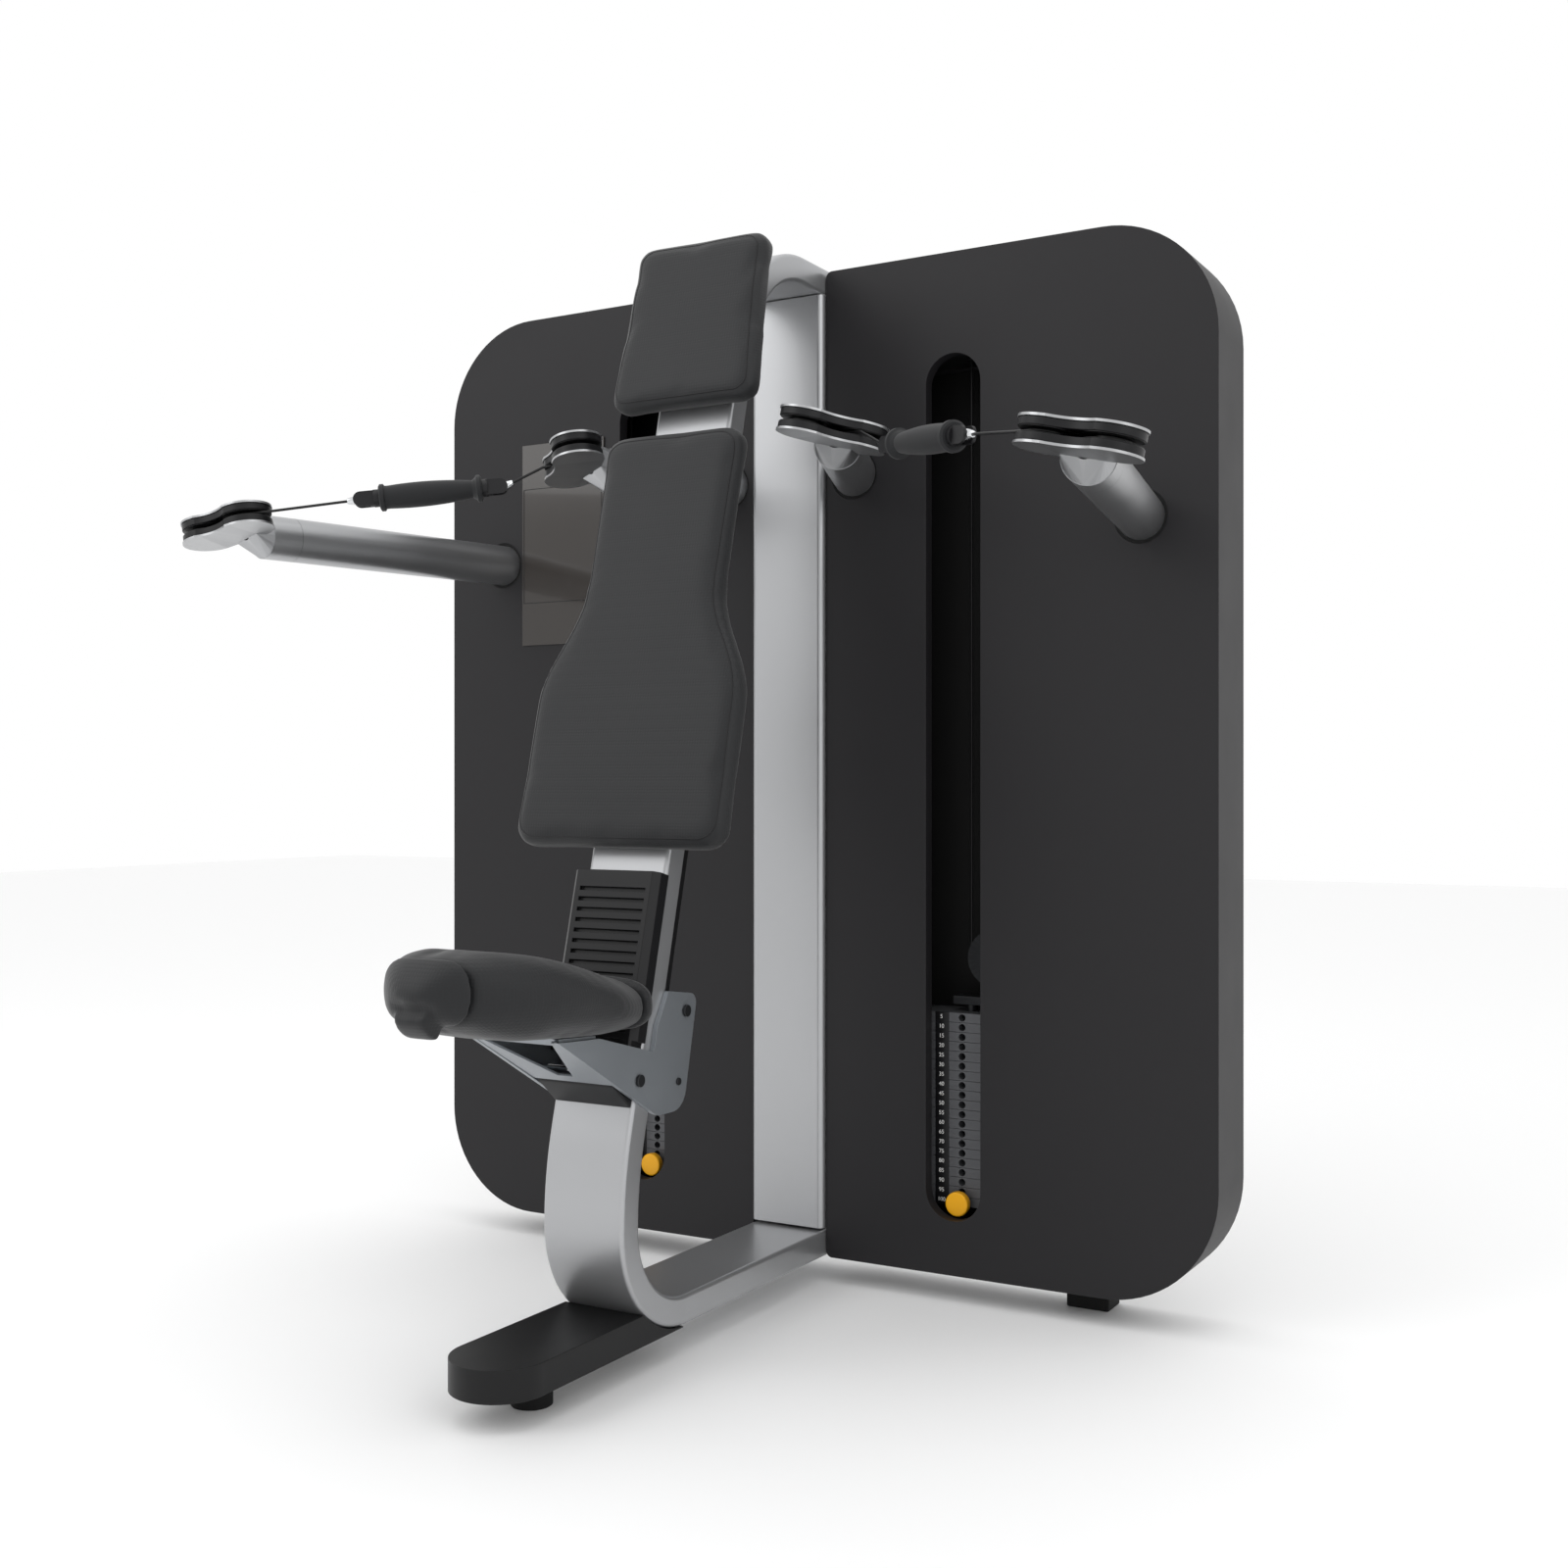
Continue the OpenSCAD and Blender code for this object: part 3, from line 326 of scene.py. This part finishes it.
# ------------------------------------------------------------------ frame band
def straight(bm, ring, offset):
    grown = bmesh.ops.extrude_edge_only(bm, edges=ring)["geom"]
    verts = [g for g in grown if isinstance(g, bmesh.types.BMVert)]
    bmesh.ops.translate(bm, vec=offset, verts=verts)
    return [g for g in grown if isinstance(g, bmesh.types.BMEdge)
            and all(v in verts for v in g.verts)]


def curved(bm, ring, y, z, angle, steps):
    verts = list({v for e in ring for v in e.verts})
    grown = bmesh.ops.spin(bm, geom=ring + verts, cent=at(0, y, z), axis=(1, 0, 0),
                           angle=angle, steps=steps, use_merge=False, use_duplicate=False)
    return [g for g in grown["geom_last"] if isinstance(g, bmesh.types.BMEdge)]


def frame_band():
    """One welded band: base beam, bend, gentle sweep, leaning post, top bend and top run."""
    base_z = 40
    bend_z = base_z + BAND_T + BEND_R
    sweep_y = BEND_Y - BEND_R + SWEEP_R
    front_y = sweep_y - (SWEEP_R + BAND_T) * math.cos(LEAN)
    front_z = bend_z + (SWEEP_R + BAND_T) * math.sin(LEAN)
    top_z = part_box("seat_post")[1][2] / MM - BAND_T - TOP_R
    top_y = front_y + (TOP_R + BAND_T + (top_z - front_z) * math.sin(LEAN)) / math.cos(LEAN)
    post_l = (top_z - front_z) * math.cos(LEAN) + (top_y - front_y) * math.sin(LEAN)
    bm = bmesh.new()
    turned = Matrix.Rotation(math.pi / 2, 4, "X")
    centre = Matrix.Translation(at(0, BAND_REAR, base_z + BAND_T / 2))
    size = Matrix.Diagonal((BAND_W / 2 * MM, BAND_T / 2 * MM, 1, 1))
    bmesh.ops.create_grid(bm, x_segments=1, y_segments=1, size=1, matrix=centre @ turned @ size)
    bmesh.ops.bevel(bm, geom=list(bm.verts), offset=BAND_EDGE * MM, segments=5, profile=0.5,
                    affect="VERTICES", material=-1)
    ring = [e for e in bm.edges if e.is_boundary]
    bmesh.ops.delete(bm, geom=list(bm.faces), context="FACES_ONLY")
    first = list(ring)
    ring = straight(bm, ring, Vector((0, (BEND_Y - BAND_REAR) * MM, 0)))
    ring = curved(bm, ring, BEND_Y, bend_z, -math.pi / 2, 24)
    ring = curved(bm, ring, sweep_y, bend_z, -LEAN, 10)
    ring = straight(bm, ring, Vector((0, math.sin(LEAN), math.cos(LEAN))) * post_l * MM)
    ring = curved(bm, ring, top_y, top_z, -(math.pi / 2 - LEAN), 20)
    ring = straight(bm, ring, Vector((0, (BAND_REAR - top_y) * MM, 0)))
    bmesh.ops.edgeloop_fill(bm, edges=first)
    bmesh.ops.edgeloop_fill(bm, edges=ring)
    bmesh.ops.recalc_face_normals(bm, faces=bm.faces)
    return place_piece("frame_band", bm, "satin_silver", "root", ("base_beam", "seat_post"),
                       weighted=True)


# ------------------------------------------------------------------ upholstery
def apply_all(piece):
    """Turns a piece's modifiers into its mesh."""
    bpy.context.view_layer.update()
    graph = bpy.context.evaluated_depsgraph_get()
    mesh = bpy.data.meshes.new_from_object(piece.evaluated_get(graph))
    piece.modifiers.clear()
    piece.data = mesh


def fabric_from(bm, name, voxel_mm, smoothing):
    """A closed, evenly meshed fabric shell round a shape."""
    mesh = bpy.data.meshes.new(name)
    bm.to_mesh(mesh)
    bm.free()
    piece = bpy.data.objects.new(name, mesh)
    bpy.context.scene.collection.objects.link(piece)
    remesh = piece.modifiers.new("Even mesh", "REMESH")
    remesh.mode = "VOXEL"
    remesh.voxel_size = voxel_mm * MM
    relax = piece.modifiers.new("Relax", "SMOOTH")
    relax.factor = 0.5
    relax.iterations = smoothing
    apply_all(piece)
    return piece


def inflate(piece, cap_mm, pressure=4.0):
    """Cloth under pressure, held to a cap on how far any point may move."""
    rest = [v.co.copy() for v in piece.data.vertices]
    cloth = piece.modifiers.new("Cloth", "CLOTH")
    cloth.settings.use_pressure = True
    cloth.settings.uniform_pressure_force = pressure
    cloth.settings.effector_weights.gravity = 0
    cloth.settings.quality = 4
    cloth.collision_settings.use_collision = False
    scene = bpy.context.scene
    for number in range(1, 21):
        scene.frame_set(number)
    graph = bpy.context.evaluated_depsgraph_get()
    swollen = bpy.data.meshes.new_from_object(piece.evaluated_get(graph))
    piece.modifiers.clear()
    for vertex, start, moved in zip(piece.data.vertices, rest, swollen.vertices):
        step = moved.co - start
        if step.length > cap_mm * MM:
            step = step.normalized() * cap_mm * MM
        vertex.co = start + step
    scene.frame_set(1)


def room_of(bm, grow_mm=0.0):
    """Lowest and highest corner of a shape, with some room added all round."""
    grow = Vector((grow_mm, grow_mm, grow_mm)) * MM
    low = Vector([min(v.co[axis] for v in bm.verts) for axis in range(3)])
    high = Vector([max(v.co[axis] for v in bm.verts) for axis in range(3)])
    return low - grow, high + grow


def fill_room(piece, room):
    """Stretches a cushion to its full size, because relaxing draws its edges in."""
    points = [v.co for v in piece.data.vertices]
    low = [min(p[axis] for p in points) for axis in range(3)]
    high = [max(p[axis] for p in points) for axis in range(3)]
    for vertex in piece.data.vertices:
        vertex.co = Vector([room[0][a] + (vertex.co[a] - low[a]) * (room[1][a] - room[0][a])
                            / (high[a] - low[a]) for a in range(3)])


def upholster(piece, nodes, cap_mm, room, shape=None):
    """Finishes a cushion: inflate, fill its room, shape, subdivide, material and place."""
    inflate(piece, cap_mm)
    relax = piece.modifiers.new("Relax", "SMOOTH")
    relax.factor = 0.5
    relax.iterations = 14
    apply_all(piece)
    fill_room(piece, room)
    if shape:
        for vertex in piece.data.vertices:
            vertex.co = shape(vertex.co)
    soft = piece.modifiers.new("Subdivision", "SUBSURF")
    soft.levels = 1
    soft.render_levels = 1
    apply_all(piece)
    piece.data.materials.clear()
    piece.data.materials.append(finish("upholstery"))
    piece.data.shade_smooth()
    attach(piece, "root")
    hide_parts(*nodes)
    return piece


def shrink(bm, amount_mm):
    """Moves a closed shape's faces inwards, for the room that the swelling takes."""
    bmesh.ops.recalc_face_normals(bm, faces=bm.faces)
    bm.normal_update()
    for vertex in bm.verts:
        vertex.co -= vertex.normal * amount_mm * MM


def seam_on(piece, name, points, radius_mm=0.9, closed=False):
    """A stitched seam: a fine dark cord pressed into a cushion along points near it."""
    tree = BVHTree.FromObject(piece, bpy.context.evaluated_depsgraph_get())
    laid = []
    for point in points:
        spot, normal, _, _ = tree.find_nearest(point)
        if spot is not None:
            laid.append(spot - normal * 0.3 * MM)
    return swept(name, laid, radius_mm * MM, "black_plastic", "root", closed)


def pad_outline(node, inset_mm):
    """Points about 6 mm apart round a pad's front face, inset from its edge."""
    bm = cad_copy(node)
    turned = [UPRIGHT @ v.co for v in bm.verts]
    bm.free()
    face_y = min(p.y for p in turned)
    ring = [p for p in turned if p.y < face_y + 1 * MM]
    centre = sum(ring, Vector()) / len(ring)
    ring.sort(key=lambda p: math.atan2(p.z - centre.z, p.x - centre.x))
    inner = [p + (centre - p).normalized() * inset_mm * MM for p in ring]
    return [LEANED @ p for p in spaced(inner + inner[:1], 6)[:-1]]


def spaced(points, step_mm):
    """The same run of points with more between them, at most step_mm apart."""
    out = [points[0]]
    for start, end in zip(points, points[1:]):
        count = max(1, math.ceil((end - start).length / (step_mm * MM)))
        out += [start.lerp(end, i / count) for i in range(1, count + 1)]
    return out


def pad(node, name, seam_inset, cap_mm):
    """A leaning pad, made upright so that its faces lie along the mesh's grid."""
    bm = cad_copy(node)
    bmesh.ops.transform(bm, matrix=UPRIGHT, verts=bm.verts)
    room = room_of(bm)
    shrink(bm, 3.0)
    piece = fabric_from(bm, name, 5, 8)
    piece = upholster(piece, (node,), cap_mm, room, lambda co: LEANED @ co)
    seam_on(piece, name + "_front_seam", pad_outline(node, seam_inset), 1.1, closed=True)
    return piece


def saddle_shape(co):
    """Dips the saddle slightly behind its nose."""
    y = (co.y - FRONT) / MM
    if co.z / MM < 500:
        return co
    dip = 5 * math.exp(-((y + 735) / 50) ** 2) * math.exp(-(co.x / MM / 60) ** 2)
    return Vector((co.x, co.y, co.z - dip * MM))


def nose_shape(co):
    """Presses a finger hollow into the front of the nose, above its lip."""
    y = (co.y - FRONT) / MM
    if y > -830:
        return co
    depth = 10 * math.exp(-((co.z / MM - 507) / 9) ** 2) * math.exp(-(co.x / MM / 30) ** 4)
    return Vector((co.x, co.y + depth * MM, co.z))


def nose_insert():
    """Front of the saddle, rolling over into a hooked lower lip."""
    bm = cad_copy("seat_nose")
    shrink(bm, 2.0)
    side = [(-861, 502), (-856, 489), (-846, 478), (-835, 474), (-829, 480), (-826, 510)]
    ring = [bm.verts.new(at(-21, y, z)) for y, z in side]
    face = bm.faces.new(ring)
    grown = bmesh.ops.extrude_face_region(bm, geom=[face], use_keep_orig=True)["geom"]
    moved = [g for g in grown if isinstance(g, bmesh.types.BMVert)]
    bmesh.ops.translate(bm, vec=(42 * MM, 0, 0), verts=moved)
    bmesh.ops.recalc_face_normals(bm, faces=bm.faces)
    room = room_of(bm, 2.0)
    piece = fabric_from(bm, "saddle_nose", 3.5, 5)
    return upholster(piece, ("seat_nose",), 2.0, room, nose_shape)


def saddle_seams(saddle):
    """Seams where the nose and the rear cap meet the saddle."""
    for name, node, end in (("nose", "seat_pad", 0), ("rear", "seat_pad", 1)):
        edge_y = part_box(node)[end].y
        near = [v.co for v in saddle.data.vertices if abs(v.co.y - edge_y) < 8 * MM]
        middle = sum(near, Vector()) / len(near)
        tree = BVHTree.FromObject(saddle, bpy.context.evaluated_depsgraph_get())
        points = []
        for step in range(72):
            angle = 2 * math.pi * step / 72
            inward = 2.5 * MM if end == 0 else -2.5 * MM
            outside = Vector((math.cos(angle) * 0.25, 0, math.sin(angle) * 0.25))
            spot = tree.ray_cast(Vector((middle.x, edge_y + inward, middle.z)) + outside,
                                 -outside.normalized())[0]
            if spot is not None:
                points.append(spot)
        if len(points) > 8:
            swept(f"saddle_{name}_seam", points, 0.8 * MM, "black_plastic", "root", True)


# ------------------------------------------------------------------ cables
def sheave_frame(side, head):
    """Centre of a head's front sheave, and its plane's axes: outwards, and back to the housing."""
    front = JOINTS[f"{side}_{head}_front_spin"]
    rear = JOINTS[f"{side}_{head}_rear_spin"]
    centre = Vector(front["pos_m"])
    out = (centre - Vector(rear["pos_m"])).normalized()
    back = Vector(front["axis"]).cross(out).normalized()
    if back.y < 0:
        back.negate()
    return centre, out, back


def handle_end(side, head):
    spin = JOINTS[f"{side}_grip_spin"]
    axis = Vector(spin["axis"]).normalized()
    sign = 1 if head == "outer" else -1
    return Vector(spin["pos_m"]) + axis * sign * PIN_TO_PIN / 2 * MM


def cable_stretch(side, head):
    """The free cable from a head's mouth to the handle, and its wrap round the sheave."""
    centre, out, back = sheave_frame(side, head)
    end = handle_end(side, head)
    reach = end - centre
    x, y = reach.dot(out), reach.dot(back)
    radius = WRAP_R * MM
    leave = (math.atan2(y, x) - math.acos(radius / math.hypot(x, y))) % (2 * math.pi)

    def on_sheave(angle):
        return centre + (out * math.cos(angle) + back * math.sin(angle)) * radius

    touch = on_sheave(leave)
    run = end - touch
    flat = (out * run.dot(out) + back * run.dot(back)).normalized()
    mouth = touch + flat * MOUTH_L * MM
    bm = bmesh.new()
    tube(bm, mouth, end, CABLE_R * MM)
    piece = place_piece(f"{side}_{head}_hand_cable", bm, "cable_black", None, ride=False)
    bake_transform(piece)
    steps = 12
    arc = [on_sheave(leave + (math.pi - leave) * i / steps) for i in range(steps + 1)]
    neck = arc[-1] + back * 30 * MM
    bend = mouth + (end - mouth).normalized() * 2 * MM
    swept(f"{side}_{head}_wrapped_cable", [bend, mouth, *arc, neck], CABLE_R * MM,
          "cable_black", f"{side}_{head}_pulley_head")
    ferrule = bmesh.new()
    pull = (mouth - end).normalized()
    middle = end + pull * 5 * MM
    turn = pull.to_track_quat("Z", "Y").to_matrix().to_4x4()
    bmesh.ops.create_cone(ferrule, cap_ends=True, segments=32, radius1=7.5 * MM,
                          radius2=4 * MM, depth=15 * MM,
                          matrix=Matrix.Translation(middle) @ turn)
    rims = [e for e in ferrule.edges if e.calc_face_angle(0) > 0.7]
    bmesh.ops.bevel(ferrule, geom=rims, offset=1.2 * MM, segments=3, profile=0.5,
                    affect="EDGES", material=-1)
    place_piece(f"{side}_{head}_ferrule", ferrule, "chrome", f"{side}_handle")


def lift_cables(side):
    """The two vertical runs above the moving pulley, drawn at one fixed length, though on the machine they shorten
    as the stack rises.
    """
    bm = bmesh.new()
    for x in (STEM_X, STEM_X + 2 * PULLEY_PITCH):
        tube(bm, at(SIDES[side] * x, STEM_Y, TOP_LINE_Z), at(SIDES[side] * x, STEM_Y, PULLEY_Z),
             CABLE_R * MM)
    piece = place_piece(f"{side}_lift_cables", bm, "cable_black", None, (f"{side}_cable",),
                        ride=False)
    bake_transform(piece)
    return piece


# ------------------------------------------------------------------ trim
def stack_scale(side):
    """Dark strip down the plates with the load at each plate, top to bottom."""
    height = PLATE_COUNT * PLATE_PITCH
    left = SIDES[side] * STEM_X - 43
    bm = bmesh.new()
    size = Matrix.Diagonal((22 * MM, 0.8 * MM, height * MM, 1))
    spot = Matrix.Translation(at(left + 11, PLATE_FACE_Y - 0.4, STACK_Z + height / 2))
    bmesh.ops.create_cube(bm, size=1, matrix=spot @ size)
    bmesh.ops.bevel(bm, geom=list(bm.edges), offset=0.2 * MM, segments=2, profile=0.5,
                    affect="EDGES", material=-1)
    place_piece(f"{side}_scale_strip", bm, "black_plastic", f"{side}_stack")
    numbers = bmesh.new()
    for row in range(PLATE_COUNT):
        curve = bpy.data.curves.new("number", "FONT")
        curve.body = str(5 * (row + 1))
        curve.size = 8.5 * MM
        curve.extrude = 0.1 * MM
        curve.align_x = "CENTER"
        curve.align_y = "CENTER"
        holder = bpy.data.objects.new("number", curve)
        bpy.context.scene.collection.objects.link(holder)
        holder.rotation_euler = (math.pi / 2, 0, 0)
        z = STACK_Z + height - (row + 0.5) * PLATE_PITCH
        holder.location = at(left + 10, PLATE_FACE_Y - 0.9, z)
        bpy.context.view_layer.update()
        mesh = bpy.data.meshes.new_from_object(holder)
        mesh.transform(holder.matrix_world)
        numbers.from_mesh(mesh)
        bpy.data.objects.remove(holder)
    piece = place_piece(f"{side}_scale_numbers", numbers, "satin_silver", f"{side}_stack")
    piece.data.materials.clear()
    piece.data.materials.append(printed_white())


def printed_white():
    """Screen-printed white ink."""
    if "ink" not in made:
        made["ink"] = surface("White screen print", "#e6e6e4", "#f0f0ee", 0.6, spread=0.03)
    return made["ink"]


def panel_line():
    """Fine dark joint round the screen of the information panel."""
    corners = [(-513, 1064), (-353, 1064), (-353, 1255), (-513, 1255)]
    points = [at(x, -3.1, z) for x, z in corners]
    return swept("panel_joint", points, 0.7 * MM, "black_plastic", "root", closed=True)


def arm_gap_shade(side, head):
    """Black ring in the rubber finish behind the housing's hole round a tilted arm: painted shade that closes the
    gap between arm and hole.
    """
    swivel = JOINTS[f"{side}_{head}_swivel"]
    axis = Vector(swivel["axis"])
    pivot = Vector(swivel["pos_m"])
    tube_r = 33.2 * MM
    bm = bmesh.new()
    bmesh.ops.create_circle(bm, segments=64, radius=1)
    grown = bmesh.ops.extrude_edge_only(bm, edges=list(bm.edges))["geom"]
    hole = [g for g in grown if isinstance(g, bmesh.types.BMVert)]
    rim = [v for v in bm.verts if v not in hole]
    bmesh.ops.scale(bm, vec=(39.5 * MM, 39.5 * MM, 1), verts=rim)
    bmesh.ops.scale(bm, vec=(tube_r / abs(axis.y), tube_r, 1), verts=hole)
    bmesh.ops.rotate(bm, matrix=Matrix.Rotation(math.pi / 2, 3, "X"), verts=bm.verts)
    bmesh.ops.translate(bm, vec=(pivot.x, FRONT + 3.2 * MM, pivot.z), verts=bm.verts)
    bmesh.ops.recalc_face_normals(bm, faces=bm.faces)
    bmesh.ops.solidify(bm, geom=list(bm.faces), thickness=2 * MM)
    return place_piece(f"{side}_{head}_arm_gap_shade", bm, "foot_rubber", "root")


def slot_shade_sheet(side):
    """Black sheet behind the weight plates: painted shade that makes the slot look deep."""
    bm = bmesh.new()
    size = Matrix.Diagonal((320 * MM, 1 * MM, 1310 * MM, 1))
    spot = Matrix.Translation(at(SIDES[side] * STEM_X, 115.5, 735))
    bmesh.ops.create_cube(bm, size=1, matrix=spot @ size)
    bmesh.ops.bevel(bm, geom=list(bm.edges), offset=0.3 * MM, segments=2, profile=0.5,
                    affect="EDGES", material=-1)
    return place_piece(f"{side}_slot_shade_sheet", bm, "foot_rubber", "root")


SOFTENED = {
    "left_housing": 6.0, "right_housing": 6.0, "nose_foot": 5.0, "housing_feet": 3.0,
    "centre_column": 1.0, "info_panel": 0.8, "seat_bracket": 0.8, "bracket_block": 2.0,
    "ribbed_cover": 2.2, "post_rear_strip": 2.0, "left_selector_pin": 2.5,
    "right_selector_pin": 2.5, "levelling_foot": 1.5, "frame_bolts": 0.9,
    "left_outer_shells": 1.2, "right_outer_shells": 1.2, "left_inner_shells": 1.2,
    "right_inner_shells": 1.2,
}


# ------------------------------------------------------------------ add-on
class StationSettings(bpy.types.PropertyGroup):
    """Sizes and colours that a user would change."""

    pad_swell: FloatProperty(name="Pad swell", description="How far the pads swell, in mm",
                             default=6.0, min=2.0, max=14.0)
    floor_colour: FloatVectorProperty(name="Floor", description="Colour of the floor",
                                      subtype="COLOR", size=3, default=(0.95, 0.95, 0.95))
    key_power: FloatProperty(name="Key light", description="Power of the main softbox, in watts",
                             default=30.0, min=0.0)
    edge_segments: IntProperty(name="Edge segments", description="Segments of a rounded edge",
                               default=3, min=1, max=6)


class STATION_OT_finishes(bpy.types.Operator):
    """Gives every CAD node its material"""

    bl_idname = "station.finishes"
    bl_label = "Finishes"

    def execute(self, context):
        for name, node in frame["nodes"].items():
            node.data.materials.clear()
            node.data.materials.append(finish(SLOT_OF[name]))
        return {"FINISHED"}


class STATION_OT_structure(bpy.types.Operator):
    """Builds the welded band and rounds the edges of the panels and plates"""

    bl_idname = "station.structure"
    bl_label = "Structure"

    def execute(self, context):
        frame_band()
        segments = context.scene.station.edge_segments
        for node, width in SOFTENED.items():
            soften(node, width, segments)
        for side in SIDES:
            for head in ("outer", "inner"):
                arm_gap_shade(side, head)
            slot_shade_sheet(side)
        panel_line()
        return {"FINISHED"}


class STATION_OT_upholstery(bpy.types.Operator):
    """Makes the head pad, back pad and saddle"""

    bl_idname = "station.upholstery"
    bl_label = "Upholstery"

    def execute(self, context):
        swell = context.scene.station.pad_swell
        pad("backrest_pad", "back_cushion", 9, swell)
        pad("headrest_pad", "head_cushion", 9, swell)
        bm = cad_copy("seat_pad")
        room = room_of(bm)
        shrink(bm, 2.5)
        saddle = fabric_from(bm, "saddle", 4, 6)
        saddle = upholster(saddle, ("seat_pad",), swell * 0.5, room, saddle_shape)
        saddle_seams(saddle)
        bm = cad_copy("seat_rear_cap")
        room = room_of(bm)
        shrink(bm, 1.5)
        cap = fabric_from(bm, "saddle_rear_cap", 4, 3)
        upholster(cap, ("seat_rear_cap",), 1.5, room)
        nose_insert()
        return {"FINISHED"}


class STATION_OT_cables(bpy.types.Operator):
    """Lays the hand cables and the lift cables"""

    bl_idname = "station.cables"
    bl_label = "Cables"

    def execute(self, context):
        for side in SIDES:
            for head in ("outer", "inner"):
                cable_stretch(side, head)
            lift_cables(side)
            stack_scale(side)
        return {"FINISHED"}


class STATION_OT_stage(bpy.types.Operator):
    """Adds the floor, the lights and the camera"""

    bl_idname = "station.stage"
    bl_label = "Stage"

    def execute(self, context):
        scene = context.scene
        settings = scene.station
        scene.view_settings.view_transform = "Standard"
        bm = bmesh.new()
        bmesh.ops.create_grid(bm, x_segments=1, y_segments=1, size=12)
        mesh = bpy.data.meshes.new("floor")
        bm.to_mesh(mesh)
        bm.free()
        floor = bpy.data.objects.new("floor", mesh)
        scene.collection.objects.link(floor)
        paint = bpy.data.materials.new("Floor paint")
        paint.use_nodes = True
        shader = paint.node_tree.nodes["Principled BSDF"]
        shader.inputs["Base Color"].default_value = (*settings.floor_colour, 1)
        shader.inputs["Roughness"].default_value = 0.7
        mesh.materials.append(paint)
        world = bpy.data.worlds.new("Studio")
        world.use_nodes = True
        sky = world.node_tree.nodes["Background"]
        sky.inputs["Color"].default_value = (1, 1, 1, 1)
        sky.inputs["Strength"].default_value = 1.0
        scene.world = world
        for name, spot, aim, size, power in (
                ("key", (-2.2, -3.0, 3.0), (0, 0, 0.9), 2.4, settings.key_power),
                ("fill", (3.2, -1.6, 2.2), (0, 0, 0.8), 2.0, settings.key_power * 0.5),
                ("top", (0.3, -0.4, 3.6), (0, 0.1, 0.6), 2.6, settings.key_power * 0.6)):
            lamp = bpy.data.lights.new(name, "AREA")
            lamp.size = size
            lamp.energy = power
            light = bpy.data.objects.new(name, lamp)
            light.location = spot
            light.rotation_euler = (Vector(aim) - Vector(spot)).to_track_quat("-Z", "Y").to_euler()
            scene.collection.objects.link(light)
        lens = bpy.data.cameras.new("camera")
        lens.sensor_width = 36
        lens.lens = 40.38
        camera = bpy.data.objects.new("camera", lens)
        camera.location = (1.3427, FRONT - 2.3548, 0.7602)
        camera.rotation_euler = (math.pi / 2, 0, math.radians(29.87))
        scene.collection.objects.link(camera)
        scene.camera = camera
        return {"FINISHED"}


class STATION_PT_panel(bpy.types.Panel):
    """Lists the station's settings and the buttons of its steps"""

    bl_label = "Press station"
    bl_idname = "STATION_PT_panel"
    bl_space_type = "VIEW_3D"
    bl_region_type = "UI"
    bl_category = "Press station"

    def draw(self, context):
        settings = context.scene.station
        for name in ("pad_swell", "floor_colour", "key_power", "edge_segments"):
            self.layout.prop(settings, name)
        for step in STEPS:
            self.layout.operator(step.bl_idname)


STEPS = (STATION_OT_stage, STATION_OT_finishes, STATION_OT_structure, STATION_OT_upholstery,
         STATION_OT_cables)
CLASSES = (StationSettings, *STEPS, STATION_PT_panel)


def register():
    for cls in CLASSES:
        bpy.utils.register_class(cls)
    bpy.types.Scene.station = PointerProperty(type=StationSettings)


def unregister():
    del bpy.types.Scene.station
    for cls in reversed(CLASSES):
        bpy.utils.unregister_class(cls)


def main():
    register()
    bpy.ops.station.stage()
    bpy.ops.station.finishes()
    bpy.ops.station.structure()
    bpy.ops.station.upholstery()
    bpy.ops.station.cables()


if __name__ == "__main__":
    main()
